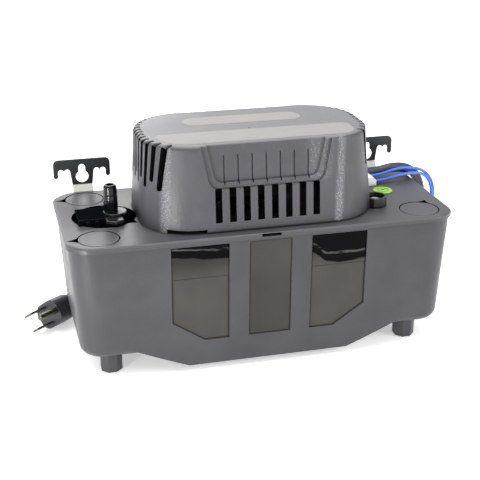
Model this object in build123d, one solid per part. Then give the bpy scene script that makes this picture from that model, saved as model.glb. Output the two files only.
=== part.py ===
from build123d import *
from math import atan, cos, degrees, pi, radians, sin, sqrt, tan
import os

# Condensate pump. A drafted tank on four feet holds the water. A flat deck closes it and carries
# the motor, the pump column, the float and its switches, and the check valve. A vented cover
# stands over the motor, and two sheet hangers rise behind the tank.
# Millimetres, +Z up, X along the tank, Y across it with the front at -Y. The shapes are drawn
# about the middle of the deck, and save() moves them to the middle of the whole object's depth.

os.makedirs("parts", exist_ok=True)

# Overall sizes
deck_length = 280.0
deck_depth = 120.0
deck_top = 103.5
deck_thickness = 4.0
deck_corner = 24.0
deck_edge_round = 1.6
latch_half = 7.0
latch_depth = 4.0
latch_height = 2.0
latch_lip = 0.6
slip = 0.3
running_fit = 0.06
seat_gap = 0.02

# Tank
tank_wall = 3.0
tank_inset = 1.0
tank_floor = 18.0
tank_corner = 23.0
tank_end_draft = 10.5
tank_side_draft = 2.0
tank_bottom_round = 8.0
sump_bottom = 5.5
sump_radius = 82.0
sump_slope = 1.92
foot_x = 113.0
foot_y = 36.8
foot_radius = 8.2
foot_faces = 8
window_depth = 0.8
window_step = 0.5
window_top = 98.0
window_crease = 73.3
window_bottom = 24.8
side_window_inner = 30.0
side_window_outer = 71.2
side_window_cut_x = 48.0
side_window_cut_z = 40.6
middle_window_half = 15.5
skirt_height = 7.0
skirt_wall = 2.0

# Inlet ports and their plugs
inlet_x = 117.9
inlet_y = 41.2
inlet_radius = 14.7
inlet_ledge_radius = 12.4
inlet_ledge_depth = 2.6
inlet_collar_depth = 7.0
inlet_collar_wall = 1.2
plug_gap = 0.6
plug_skirt_depth = 7.0
plug_skirt_wall = 1.6
pry_notch_length = 5.4
pry_notch_width = 4.6
pry_notch_depth = 2.4

# Check valve
pocket_x = -108.5
pocket_y = 0.8
pocket_radius = 23.3
pocket_depth = 2.2
valve_left = -128.6
valve_front = -15.2
valve_back = 8.0
valve_right = -106.0
valve_top = 108.0
valve_ribs = 3
valve_rib_pitch = 6.4
valve_rib_width = 2.4
chamber_x = -103.0
chamber_y = -15.4
chamber_radius = 5.4
chamber_top = 105.4
valve_floor = 0.6
seat_radius = 3.4
seat_z = 93.5
ball_radius = 4.2
ball_gap = 0.1
hex_across = 12.4
hex_top = 107.4
barb_x = -103.9
barb_y = -3.7
barb_foot = 107.5
barb_top = 128.9
barb_crest = 5.15
barb_neck = 4.9
barb_shank_low = 110.2
barb_shank_high = 117.2
barb_groove = 0.55
barb_tip = 3.8
barb_bore = 2.9
barb_tenon = 4.4
lock_ring_x = -101.2
lock_ring_y = -4.2
lock_ring_radius = 8.4
lock_ring_height = 1.6

# Motor cover
cover_half_x = 87.5
cover_half_y = 52.0
cover_corner = 38.0
cover_top = 164.8
cover_draft = 5.6
cover_wall = 2.5
cover_top_round = 3.5
grip_half_top = 47.0
grip_half_bottom = 41.0
grip_low = 134.2
grip_depth = 3.6
grip_bead = 4.2
grip_groove_count = 7
vent_count = 8
vent_pitch = 10.08
vent_width = 4.9
vent_low = 110.6
end_vent_width = 3.3
end_vent_pitch = 6.2
end_vent_long = 132.5
end_vent_short = 137.8
end_vent_reach = 5.0
end_vent_count = 13
right_vents_missing = 1
finger_notch_left = -72.0
finger_notch_right = -44.0
finger_notch_height = 3.0
cup_x = 89.4
cup_y = -24.8
cup_across = 16.4
cup_wall = 1.3
cup_top = 110.9
cup_floor = 106.0

# Motor
shaft_radius = 3.0
stack_bottom = 119.0
stack_height = 20.0
rotor_radius = 12.9
air_gap = 0.4
stack_right = 24.0
stack_half_y = 24.0
stack_left = -42.0
window_leg = 12.0
coil_window_left = -30.0
coil_window_right = -19.0
coil_window_half = 15.5
coil_half = 14.0
coil_build = 8.2
motor_screw_x = 14.0
motor_screw_y = 19.5
motor_screw_radius = 2.0
motor_screw_head = 3.6
motor_screw_grip = 3.0
motor_leg_radius = 4.2
bracket_plate = 3.5
bracket_pad = 3.5
bracket_pad_radius = 4.5
bearing_radius = 5.0
bearing_length = 7.0
fan_bottom = 152.0
fan_height = 7.0
fan_radius = 29.0
fan_blades = 6

# Pump
column_radius = 13.0
column_wall = 2.0
column_screw_radius = 1.8
volute_screw_radius = 1.3
column_flange = 24.0
volute_radius = 26.0
volute_bottom = 12.0
volute_top = 22.0
volute_cavity = 20.0
volute_roof = 2.0
base_thickness = 2.0
impeller_radius = 18.0
impeller_blades = 6
discharge_y = chamber_y
discharge_z = 16.0
discharge_radius = 5.0
discharge_bore = 3.4
discharge_rise_x = -54.0
discharge_level = 74.0
discharge_bend = 10.0

# Float and switches
float_swing = radians(15.0)
arm_pivot_x = 48.0
arm_pivot_z = 86.0
rod_x = 72.0
rod_radius = 2.5
float_x = 92.0
float_length = 36.0
float_width = 52.0
float_bottom = 34.0
float_top = 58.0
arm_pin_radius = 1.5
arm_width = 6.0
arm_thickness = 3.0
lever_pivot_x = 54.0
lever_pivot_z = 115.0
lever_reach = 22.0
lever_thickness = 0.8
lever_width = 4.0
switch_length = 28.0
switch_width = 10.0
switch_height = 16.0
switch_bottom = 116.6
switch_web = 1.2
button_radius = 1.1
button_x = 59.0
crossbar_radius = 1.5
crossbar_length = 18.0

# Hangers
hanger_x = 116.2
hanger_plate = 1.5
hanger_front = 64.0
hanger_top = 127.9
hanger_half = 21.7
hanger_leg_half = 7.7
hanger_neck_half = 9.0
hanger_tip_radius = 1.75
hanger_tip_z = 115.0
hanger_scallop_top = 120.3
hanger_corner = 4.0
hanger_screw_z = 78.0
hanger_foot = 70.0
hanger_bend_high = 107.7
hanger_bend_low = 103.0
keyhole_radius = 4.85
keyhole_slot = 2.6
keyhole_z = 114.0
keyhole_top = 123.9

# Marker on the deck
marker_x = 106.3
marker_y = 1.8
marker_radius = 7.4
marker_height = 1.3

# Cord, leads and their fittings
cord_diameter = 7.6
relief_x = 79.0
relief_y = 32.0
relief_z = 109.2
relief_end = 103.0
relief_base_radius = 5.5
bushing_left = 82.0
bushing_right = 106.5
bushing_front = 15.6
bushing_back = 26.2
bushing_height = 6.8
lead_diameter = 2.3
coil_mean_radius = 44.0
coil_x = 8.0
coil_y = 130.0
coil_columns = 3
coil_layers = 2

# Sizes that follow from the ones above
seam_z = deck_top - deck_thickness
hanger_back = hanger_front + hanger_plate
hanger_screw_head = 1.6
leg_front = deck_depth / 2 + slip
leg_back = leg_front + hanger_plate
frame_shift = (deck_depth / 2 - hanger_back) / 2
rod_rise = (rod_x - arm_pivot_x) * tan(float_swing)
lever_swing = atan(rod_rise / (rod_x - lever_pivot_x))
shaft_top = fan_bottom + fan_height - 1
shaft_bottom = volute_bottom + 1.4
stack_top = stack_bottom + stack_height
outlet_end = -volute_radius - 13
outlet_socket = 6.0


def save(shape, name):
    """Writes a piece to its file, moved to the middle of the object's depth."""
    export_step(Pos(0, frame_shift, 0) * shape, f"parts/{name}.step")


def post(x, y, radius, low, high):
    """A vertical cylinder between two heights."""
    return Pos(x, y, (low + high) / 2) * Cylinder(radius, high - low)


def block(x0, x1, y0, y1, z0, z1):
    """A box given by its limits."""
    return Pos((x0 + x1) / 2, (y0 + y1) / 2, (z0 + z1) / 2) * Box(x1 - x0, y1 - y0, z1 - z0)


def along_x(x, y, z, radius, length):
    """A cylinder along X, centred on a point."""
    return Pos(x, y, z) * Rot(0, 90, 0) * Cylinder(radius, length)


def along_y(x, y, z, radius, length):
    """A cylinder along Y, centred on a point."""
    return Pos(x, y, z) * Rot(90, 0, 0) * Cylinder(radius, length)


def drafted(half_x, half_y, corner, draft_x, draft_y, inset, low, high, wide_z, narrow_z):
    """A rounded block whose walls lean evenly between the heights wide_z and narrow_z."""
    sections = []
    for z in (low, high):
        share = (z - wide_z) / (narrow_z - wide_z)
        x = half_x - draft_x * share - inset
        y = half_y - draft_y * share - inset
        sections.append(Pos(0, 0, z) * RectangleRounded(2 * x, 2 * y, corner - inset))
    return loft(sections)


def tank_block(inset, low, high):
    """The tank's leaning walls, moved inwards by inset."""
    return drafted(deck_length / 2 - tank_inset, deck_depth / 2 - tank_inset, tank_corner,
                   tank_end_draft, tank_side_draft, inset, low, high, seam_z, tank_floor)


def cover_block(inset, low, high):
    """The cover's leaning walls, moved inwards by inset."""
    return drafted(cover_half_x, cover_half_y, cover_corner, cover_draft, cover_draft,
                   inset, low, high, deck_top, cover_top)


def slab_xz(outline, y0, y1):
    """An outline drawn in X and Z, as a slab between two depths."""
    return Pos(0, y0, 0) * extrude(Plane.XZ * outline, amount=y1 - y0, dir=(0, 1, 0))


def slab_yz(outline, x0, x1):
    """An outline drawn in Y and Z, as a slab between two widths."""
    return Pos(x0, 0, 0) * extrude(Plane.YZ * outline, amount=x1 - x0, dir=(1, 0, 0))


# Tank
def tank_form(inset):
    """The tank's outer form, or its cavity where inset is the wall."""
    walls = tank_block(inset, tank_floor + inset, seam_z)
    low_edges = walls.edges().group_by(Axis.Z)[0]
    walls = fillet(low_edges, tank_bottom_round - inset)
    lobe_top = tank_floor + 12
    rise = lobe_top - sump_bottom - inset
    cone = Pos(0, 0, sump_bottom + inset + rise / 2) * Cone(
        sump_radius - inset, sump_radius - inset + sump_slope * rise, rise)
    return walls + (tank_block(inset, sump_bottom + inset, lobe_top) & cone)


def window_outline(low_left, low_right, side):
    """One polished panel of the front wall, with its lower outer corner cut off."""
    if side == 0:
        return RectangleRounded(2 * middle_window_half, window_top - window_bottom, 1.5)
    inner, outer = side * side_window_inner, side * side_window_outer
    points = [(inner, window_top), (outer, window_top), (outer, low_left),
              (side * side_window_cut_x, low_right), (inner, low_right)]
    return make_face(Polyline(*points, close=True))


def windows():
    """The three shallow polished panels, the outer two with a step at their crease."""
    cut = None
    for side in (-1, 0, 1):
        outline = window_outline(side_window_cut_z, window_bottom, side)
        if side == 0:
            outline = Pos(0, (window_top + window_bottom) / 2) * outline
        sheet = slab_xz(outline, -deck_depth, 0)
        shallow = sheet - tank_block(window_depth, sump_bottom, deck_top)
        low_half = sheet & block(-deck_length, deck_length, -deck_depth, 0, 0, window_crease)
        deep = low_half - tank_block(window_depth + window_step, sump_bottom, deck_top)
        piece = shallow + deep if side else shallow
        cut = piece if cut is None else cut + piece
    return cut


def tank_foot(x, y):
    """A faceted foot that runs from the floor plane into the tank's underside."""
    body = Pos(x, y, 0) * extrude(RegularPolygon(foot_radius, foot_faces, rotation=22.5),
                                  amount=tank_floor + 1.5)
    return fillet(body.faces().sort_by(Axis.Z)[0].edges(), 1.6)


def hanger_seat(x):
    """The pad on the back wall that a hanger's leg is screwed to."""
    return block(x - hanger_leg_half - 3, x + hanger_leg_half + 3, deck_depth / 2 - 4,
                 leg_front, hanger_foot - 3, seam_z - 2)


def tank():
    body = tank_form(0)
    for x in (-hanger_x, hanger_x):
        body += hanger_seat(x)
        for y in (-foot_y, foot_y):
            body += tank_foot(x / hanger_x * foot_x, y)
    body -= tank_form(tank_wall)
    for x in (-hanger_x, hanger_x):
        body -= along_y(x, leg_front, hanger_screw_z, 1.5, 6)
    return body - windows()


# Hangers
def hanger_outline():
    """The T-shaped plate with a scalloped hook under each arm."""
    half, neck, tip = hanger_half, hanger_neck_half, hanger_tip_radius
    scallop = (half - 2 * tip - neck) / 4
    arm_low = hanger_scallop_top - scallop
    plate = Pos(0, (hanger_top + arm_low) / 2) * Rectangle(2 * half, hanger_top - arm_low)
    plate = fillet(plate.vertices().group_by(Axis.Y)[-1], hanger_corner)
    plate += Polygon((-neck, arm_low), (neck, arm_low), (hanger_leg_half, hanger_bend_high),
                     (-hanger_leg_half, hanger_bend_high), align=None)
    for side in (-1, 1):
        x = side * (half - tip)
        plate += Pos(x, (arm_low + hanger_tip_z) / 2) * Rectangle(2 * tip, arm_low - hanger_tip_z)
        plate += Pos(x, hanger_tip_z) * Circle(tip)
        for offset in (scallop, 3 * scallop):
            plate -= Pos(side * (neck + offset), arm_low) * Circle(scallop)
    return plate


def keyhole():
    """A big round hole with a slot above it for the screw's shank."""
    shape = Pos(0, keyhole_z) * Circle(keyhole_radius)
    slot_top = keyhole_top - keyhole_slot
    shape += Pos(0, (keyhole_z + slot_top) / 2) * Rectangle(2 * keyhole_slot, slot_top - keyhole_z)
    return shape + Pos(0, slot_top) * Circle(keyhole_slot)


def hanger(x):
    """Upper plate, a short bend forwards, and a leg down the tank's back wall."""
    plate = slab_xz(hanger_outline() - keyhole(), hanger_front, hanger_back)
    side = Polygon((hanger_front, hanger_bend_high), (hanger_back, hanger_bend_high),
                   (leg_back, hanger_bend_low), (leg_back, hanger_foot),
                   (leg_front, hanger_foot), (leg_front, hanger_bend_low), align=None)
    leg = slab_yz(side, -hanger_leg_half, hanger_leg_half)
    return Pos(x, 0, 0) * (plate + leg - along_y(0, leg_front, hanger_screw_z, 1.7, 8))


def hanger_screw(x):
    """A pan-head screw that holds the leg to its pad."""
    head = along_y(x, leg_back + hanger_screw_head / 2, hanger_screw_z, 3.0, hanger_screw_head)
    return head + along_y(x, leg_back - 2, hanger_screw_z, 1.45, 4)


# Deck
def inlet_places():
    """Name, place and the way the pry notch points, in degrees, of each inlet."""
    return [("inlet_plug_left_back", -inlet_x, inlet_y, 180),
            ("inlet_plug_left_front", -inlet_x, -inlet_y, 180),
            ("inlet_plug_right_front", inlet_x, -inlet_y, 55)]


def pry_notch(radius):
    """An arrow-shaped notch whose base lies on a circle of this radius, pointing along +X."""
    middle = radius + pry_notch_length * 0.4
    arrow = Polygon((radius - 0.8, -pry_notch_width), (middle, -pry_notch_width * 0.4),
                    (radius + pry_notch_length, 0), (middle, pry_notch_width * 0.4),
                    (radius - 0.8, pry_notch_width), align=None)
    return Pos(0, 0, deck_top - pry_notch_depth) * extrude(arrow, amount=2 * pry_notch_depth)


def skirt():
    """The locating rib under the deck, just inside the tank's mouth."""
    low = seam_z - skirt_height
    outer = tank_block(tank_wall + 1.3, low, seam_z)
    return outer - tank_block(tank_wall + 1.3 + skirt_wall, low, seam_z)


def deck():
    plate = Pos(0, 0, seam_z) * extrude(RectangleRounded(deck_length, deck_depth, deck_corner),
                                        amount=deck_thickness)
    plate = fillet(plate.edges().group_by(Axis.Z)[-1], deck_edge_round)
    plate += skirt()
    collar_low = seam_z - inlet_collar_depth
    for _, x, y, turn in inlet_places():
        plate += post(x, y, inlet_ledge_radius + inlet_collar_wall, collar_low, seam_z)
        plate -= post(x, y, inlet_radius, deck_top - inlet_ledge_depth, deck_top + 1)
        plate -= post(x, y, inlet_ledge_radius, collar_low - 1, deck_top)
        plate -= Pos(x, y, 0) * Rot(0, 0, turn) * pry_notch(inlet_radius)
    plate -= post(pocket_x, pocket_y, pocket_radius, deck_top - pocket_depth, deck_top + 1)
    plate -= Pos(pocket_x, pocket_y, 0) * Rot(0, 0, -40) * pry_notch(pocket_radius)
    plate -= post(chamber_x, chamber_y, valve_socket_radius + running_fit, seam_z - 1, deck_top)
    plate -= post(0, 0, column_radius - column_wall, seam_z - 1, deck_top + 1)
    plate -= each_column_screw(column_screw_radius, seam_z - 1, deck_top - 1.2)
    for x in (-motor_screw_x, motor_screw_x):
        for y in (-motor_screw_y, motor_screw_y):
            plate -= post(x, y, motor_screw_radius, deck_top - motor_screw_grip, deck_top)
    plate += post(rod_x, 0, 4.0, seam_z - 4, deck_top)
    plate -= post(rod_x, 0, rod_radius + running_fit, seam_z - 5, deck_top + 1)
    plate += arm_bracket()
    front = -deck_depth / 2
    plate -= block(-latch_half, latch_half, front - 1, front + latch_depth,
                   deck_top - latch_lip - latch_height, deck_top - latch_lip)
    plate -= post(cup_x, cup_y, 2.0, seam_z - 1, deck_top + 1)
    return plate


def arm_bracket():
    """Two cheeks under the deck that hold the float arm's pin."""
    body = None
    gap = arm_width / 2 + 0.4
    for side in (-1, 1):
        y0, y1 = sorted((side * gap, side * (gap + 2.4)))
        cheek = block(arm_pivot_x - 4, arm_pivot_x + 4, y0, y1, arm_pivot_z - 4, seam_z)
        body = cheek if body is None else body + cheek
    return body - along_y(arm_pivot_x, 0, arm_pivot_z, arm_pin_radius, 20)


def inlet_plug(x, y):
    """A flush cap with a short skirt that grips the port."""
    cap_low = deck_top - inlet_ledge_depth
    skirt_radius = inlet_ledge_radius - slip
    cap = post(x, y, inlet_radius - plug_gap, cap_low, deck_top)
    cap = fillet(cap.faces().sort_by(Axis.Z)[-1].edges(), 0.5)
    cap += post(x, y, skirt_radius, cap_low - plug_skirt_depth, cap_low)
    return cap - post(x, y, skirt_radius - plug_skirt_wall, cap_low - plug_skirt_depth, cap_low)


# Check valve
valve_socket_radius = 7.6
valve_socket_low = 86.0
valve_socket_depth = 4.0


def valve_passage():
    """The cross bore from the ball chamber to the barb's bore."""
    start, end = Vector(chamber_x, chamber_y, 103.4), Vector(barb_x, barb_y, 103.4)
    return Plane(origin=start, z_dir=end - start) * Pos(0, 0, (end - start).length / 2) * Cylinder(
        1.9, (end - start).length)


def valve_hexagon(gap):
    """The outline of the hexagon round the ball chamber."""
    return RegularPolygon(hex_across / 2 + gap, 6, major_radius=False, rotation=30)


def valve_body():
    floor = deck_top - pocket_depth
    body = block(valve_left, valve_right, valve_front, valve_back, floor, valve_top)
    for rib in range(valve_ribs):
        x = valve_left + 5.6 + valve_rib_pitch * rib
        body += block(x, x + valve_rib_width, valve_front - 1.0, valve_front + 1, floor, valve_top - 1.5)
    above = block(valve_left, valve_right, valve_front - 2, valve_back, deck_top, valve_top)
    body &= post(pocket_x, pocket_y, pocket_radius - 0.4, floor, valve_top) + above
    body += post(lock_ring_x, lock_ring_y, lock_ring_radius - 0.6, floor, barb_foot)
    body += Pos(chamber_x, chamber_y, floor) * extrude(valve_hexagon(0), amount=chamber_top - floor)
    body += post(chamber_x, chamber_y, valve_socket_radius, valve_socket_low, floor)
    body -= post(chamber_x, chamber_y, chamber_radius, seat_z, chamber_top)
    body -= post(chamber_x, chamber_y, seat_radius, valve_socket_low, seat_z)
    body -= post(chamber_x, chamber_y, discharge_radius + seat_gap, valve_socket_low,
                 valve_socket_low + valve_socket_depth)
    body -= post(barb_x, barb_y, barb_tenon + seat_gap, floor + valve_floor, barb_foot)
    body -= post(lock_ring_x, lock_ring_y, lock_ring_radius + 0.2, barb_foot, valve_top)
    body -= Pos(chamber_x, chamber_y, chamber_top) * extrude(valve_hexagon(0.2), amount=9)
    body -= Pos(chamber_x, chamber_y, seam_z - 3) * (Cylinder(valve_socket_radius + 1, 2.0)
                                                     - Cylinder(valve_socket_radius - 1.2, 2.0))
    return body - valve_passage()


def valve_cap():
    """The hexagonal cap over the ball chamber."""
    cap = Pos(chamber_x, chamber_y, chamber_top) * extrude(valve_hexagon(0), amount=hex_top - chamber_top)
    return chamfer(cap.edges().group_by(Axis.Z)[-1], 0.4)


def valve_seal():
    """The rubber ring between the valve's socket and the deck's collar."""
    return Pos(chamber_x, chamber_y, seam_z - 3) * Torus(valve_socket_radius - 0.2, 0.9)


def discharge_barb():
    """A tenon, a neck in the lock ring, a plain shank at the crest's size, two grooves and a taper."""
    low = deck_top - pocket_depth + valve_floor
    points = [(barb_bore, low), (barb_tenon, low), (barb_tenon, barb_foot), (barb_neck, barb_foot),
              (barb_neck, barb_shank_low), (barb_crest, barb_shank_low), (barb_crest, barb_shank_high)]
    radius, z = barb_crest, barb_shank_high
    for next_radius, rise in ((barb_crest, 3.0), (barb_crest - 0.2, 5.2)):
        low_groove = radius - barb_groove
        points += [(low_groove, z + 0.3), (low_groove, z + 0.7), (next_radius, z + 1.0)]
        radius, z = next_radius - 0.2, z + 1.0 + rise
        points.append((radius, z))
    points += [(barb_tip, barb_top), (barb_bore, barb_top)]
    profile = Plane.XZ * make_face(Polyline(*points, close=True))
    return Pos(barb_x, barb_y, 0) * revolve(profile, Axis.Z) - valve_passage()


def valve_lock_ring():
    """The off-centre ring that locks the barb into the valve's body."""
    ring = post(lock_ring_x, lock_ring_y, lock_ring_radius, barb_foot, barb_foot + lock_ring_height)
    ring = fillet(ring.edges().group_by(Axis.Z)[-1], 0.5)
    return ring - post(barb_x, barb_y, barb_neck + seat_gap, barb_foot, barb_foot + 2 * lock_ring_height)


def valve_ball():
    rest = seat_z + sqrt(ball_radius ** 2 - seat_radius ** 2) + ball_gap
    return Pos(chamber_x, chamber_y, rest) * Sphere(ball_radius)


# Motor cover
def grip_outline(margin):
    """The grip's outline in X and Z: a trapezium with rounded lower corners."""
    top, bottom, low = grip_half_top - margin, grip_half_bottom - margin, grip_low + margin
    high = cover_top + 1
    shape = make_face(Polyline((-top, high), (top, high), (bottom, low), (-bottom, low), close=True))
    return fillet(shape.vertices().group_by(Axis.Y)[0], 8.0 - margin / 2)


def both_sides(tool):
    """A cutting tool on the front and the same one on the back."""
    return tool + Rot(0, 0, 180) * tool


def grip_recess(wall_inset):
    """The stepped recess of both long sides, cut into the form that lies wall_inset inside."""
    outer = slab_xz(grip_outline(0), -deck_depth, 0) - cover_block(
        wall_inset + grip_depth / 2, deck_top, cover_top + 1)
    inner = slab_xz(grip_outline(grip_bead), -deck_depth, 0) - cover_block(
        wall_inset + grip_depth, deck_top, cover_top + 1)
    return both_sides(outer + inner)


def grip_grooves():
    """Fine upright grooves in the floor of each grip, one between each pair of vents."""
    sheet = None
    for index in range(grip_groove_count):
        x = (index - (grip_groove_count - 1) / 2) * vent_pitch
        bar = block(x - 0.4, x + 0.4, -deck_depth, 0, grip_low + 2.5, cover_top - 8)
        sheet = bar if sheet is None else sheet + bar
    return both_sides(sheet - cover_block(grip_depth + 0.6, deck_top, cover_top + 1))


def vents():
    """The row of upright slots under each grip."""
    slots = None
    for index in range(vent_count):
        x = (index - (vent_count - 1) / 2) * vent_pitch
        slot = block(x - vent_width / 2, x + vent_width / 2, -deck_depth, -cover_half_y + 20,
                     vent_low, grip_low + 0.4)
        slots = slot if slots is None else slots + slot
    return both_sides(slots)


def end_vents(missing):
    """Slots cut along X into the left end and its rim, long and short in turn, round at their feet."""
    slots = None
    middle = (end_vent_count - 1) / 2
    for index in range(missing, end_vent_count):
        y = (index - middle) * end_vent_pitch
        past_flat = max(0.0, abs(y) - (cover_half_y - cover_draft - cover_corner))
        rim = cover_corner - sqrt(cover_corner ** 2 - past_flat ** 2) - (cover_half_x - cover_draft)
        low = end_vent_short if index % 2 else end_vent_long
        foot = low + end_vent_width / 2
        slot = block(-deck_length / 2, rim + end_vent_reach, y - end_vent_width / 2,
                     y + end_vent_width / 2, foot, cover_top + 1)
        slot += along_x((rim + end_vent_reach - deck_length / 2) / 2, y, foot, end_vent_width / 2,
                        rim + end_vent_reach + deck_length / 2)
        slots = slot if slots is None else slots + slot
    return slots


def screw_cup(low, high, across):
    """An octagonal prism at the cover's fixing screw."""
    outline = RegularPolygon(across / 2, 8, major_radius=False, rotation=22.5)
    return Pos(cup_x, cup_y, low) * extrude(outline, amount=high - low)


def motor_cover():
    body = cover_block(0, deck_top, cover_top)
    body = fillet(body.edges().group_by(Axis.Z)[-1], cover_top_round)
    body += screw_cup(deck_top, cup_top, cup_across)
    body -= grip_recess(0)
    cavity = cover_block(cover_wall, deck_top, cover_top - cover_wall)
    cavity = fillet(cavity.edges().group_by(Axis.Z)[-1], cover_top_round - 1.5)
    cavity -= grip_recess(cover_wall)
    cavity -= screw_cup(deck_top, cup_top, cup_across)
    body -= cavity
    body -= screw_cup(cup_floor, cup_top + 1, cup_across - 2 * cup_wall)
    body -= post(cup_x, cup_y, 2.0, deck_top - 1, cup_floor + 1)
    body -= grip_grooves()
    body -= vents()
    body -= end_vents(0)
    body -= mirror(end_vents(right_vents_missing), about=Plane.YZ)
    body -= block(finger_notch_left, finger_notch_right, -deck_depth / 2, -cover_half_y + 12,
                  deck_top - 1, deck_top + finger_notch_height)
    body -= lead_notch()
    return body - cord_notch()


def lead_notch():
    """The open-bottomed notch in the cover's end for the leads' bushing."""
    return block(cover_half_x - 20, cover_half_x + 5, bushing_front - slip, bushing_back + slip,
                 deck_top - 1, deck_top + bushing_height + slip)


def cord_notch():
    """The open-bottomed notch for the cord's strain relief."""
    radius = relief_base_radius + slip
    hole = along_x(relief_x, relief_y, relief_z, radius, 24)
    return hole + block(relief_x - 12, relief_x + 12, relief_y - radius, relief_y + radius,
                        deck_top - 1, relief_z)


def cover_screw():
    """A pan-head screw in the cup, with a cross recess."""
    head = post(cup_x, cup_y, 4.2, cup_floor, cup_floor + 2.4)
    head = fillet(head.edges().group_by(Axis.Z)[-1], 1.2)
    for turn in (0, 90):
        head -= Pos(cup_x, cup_y, cup_floor + 2.2) * Rot(0, 0, turn) * Box(4.6, 1.0, 1.8)
    return head + post(cup_x, cup_y, 1.7, seam_z - 3, cup_floor)


# Motor
motor_base = stack_bottom - bracket_pad - bracket_plate


def each_motor_screw(radius, low, high):
    """Four upright cylinders, one at each motor screw."""
    group = None
    for x in (-motor_screw_x, motor_screw_x):
        for y in (-motor_screw_y, motor_screw_y):
            one = post(x, y, radius, low, high)
            group = one if group is None else group + one
    return group


def stator():
    """The laminated frame: a bore for the rotor, and a leg on the left for the winding."""
    body = block(stack_left, stack_right, -stack_half_y, stack_half_y, stack_bottom, stack_top)
    body -= post(0, 0, rotor_radius + air_gap, stack_bottom, stack_top)
    body -= block(coil_window_left, coil_window_right, -coil_window_half, coil_window_half,
                  stack_bottom, stack_top)
    return body - each_motor_screw(motor_screw_radius, stack_bottom, stack_top)


def winding():
    """The coil wound round the frame's left leg."""
    mid_x = (stack_left + coil_window_left) / 2
    half_leg = (coil_window_left - stack_left) / 2 + 0.3
    outer = block(mid_x - half_leg - coil_build, mid_x + half_leg + coil_build, -coil_half, coil_half,
                  stack_bottom - coil_build, stack_top + coil_build)
    outer = fillet(outer.edges().filter_by(Axis.Y), 4)
    return outer - block(mid_x - half_leg, mid_x + half_leg, -coil_half, coil_half,
                         stack_bottom - 0.3, stack_top + 0.3)


def motor_bracket(upper):
    """A die-cast plate with four pads and a boss for the bearing; the lower one has legs too."""
    low = stack_top if upper else stack_bottom - bracket_pad
    plate_low = stack_top + bracket_pad if upper else motor_base
    outline = RectangleRounded(2 * motor_screw_x + 10, 2 * motor_screw_y + 10, 5)
    body = Pos(0, 0, plate_low) * extrude(outline, amount=bracket_plate)
    body += each_motor_screw(bracket_pad_radius, low, low + bracket_pad)
    if not upper:
        body += each_motor_screw(motor_leg_radius, deck_top, motor_base)
    boss_low = plate_low - 2 if upper else plate_low - 3.5
    boss_high = plate_low + 6.5 if upper else plate_low + 5.5
    body += post(0, 0, bearing_radius + 3, boss_low, boss_high)
    body -= post(0, 0, bearing_radius, boss_high - bearing_length, boss_high)
    body -= post(0, 0, shaft_radius + 0.6, boss_low, boss_high)
    for side in (-1, 1):
        body -= post(0, side * 16, 4.5, plate_low, plate_low + bracket_plate)
    return body - each_motor_screw(motor_screw_radius, deck_top, low + 9)


def bearing(upper):
    """A sintered bush pressed into its bracket."""
    high = stack_top + bracket_pad + 6.5 if upper else motor_base + 5.5
    low = high - bearing_length
    return post(0, 0, bearing_radius, low, high) - post(0, 0, shaft_radius + running_fit, low, high)


def motor_screws():
    """Four long screws through both brackets, the frame and the lower legs into the deck."""
    head_low = stack_top + bracket_pad + bracket_plate
    foot = deck_top - motor_screw_grip + 0.2
    return each_motor_screw(motor_screw_radius - 0.1, foot, head_low) + each_motor_screw(
        motor_screw_head, head_low, head_low + 2.6)


def rotor():
    body = post(0, 0, rotor_radius, stack_bottom, stack_top)
    return body - post(0, 0, shaft_radius, stack_bottom, stack_top)


def shaft():
    return post(0, 0, shaft_radius, shaft_bottom, shaft_top)


def fan():
    """A hub with flat blades set at an angle, like a small cooling fan."""
    hub = post(0, 0, 7.5, fan_bottom, fan_bottom + fan_height)
    for index in range(fan_blades):
        blade = Pos((fan_radius + 5) / 2, 0, 0) * Rot(32, 0, 0) * Box(fan_radius - 5, 11.0, 1.2)
        hub += Rot(0, 0, 360 / fan_blades * index) * Pos(0, 0, fan_bottom + fan_height / 2) * blade
    hub &= post(0, 0, fan_radius, fan_bottom, fan_bottom + fan_height)
    return hub - post(0, 0, shaft_radius, fan_bottom, shaft_top)


# Pump
def column():
    """The tube that holds the pump under the deck, with a flange at each end and weep slots."""
    flange_low = seam_z - 3
    body = post(0, 0, column_radius, volute_top, seam_z)
    body += post(0, 0, column_flange, flange_low, seam_z)
    body += post(0, 0, volute_radius, volute_top, volute_top + 2)
    body -= post(0, 0, column_radius - column_wall, volute_top, seam_z)
    for turn in (0, 90):
        body -= Pos(0, 0, volute_top + 22) * Rot(0, 0, turn) * Box(4 * column_radius, 7, 26)
    body -= each_volute_screw(volute_screw_radius, volute_top, volute_top + 2)
    return body - each_column_screw(column_screw_radius, flange_low, seam_z)


def three_posts(distance, first_turn, radius, low, high):
    """Three upright cylinders evenly spaced round the shaft."""
    group = None
    for turn in (0, 120, 240):
        one = Rot(0, 0, first_turn + turn) * post(distance, 0, radius, low, high)
        group = one if group is None else group + one
    return group


def each_column_screw(radius, low, high):
    return three_posts(column_flange - 5, 30, radius, low, high)


def each_volute_screw(radius, low, high):
    return three_posts((volute_radius + volute_cavity) / 2, 10, radius, low, high)


def column_screws():
    """Three screws that hold the column's flange to the deck."""
    head_top = seam_z - 3
    shanks = each_column_screw(column_screw_radius - 0.1, head_top, deck_top - 1.4)
    return shanks + each_column_screw(3.2, head_top - 2.2, head_top)


def volute_screws():
    """Three screws that hold the base and the casing to the column's lower flange."""
    head_top = volute_bottom - base_thickness
    shanks = each_volute_screw(volute_screw_radius - 0.1, head_top, volute_top + 2)
    return shanks + each_volute_screw(2.2, head_top - 1.2, head_top)


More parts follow.
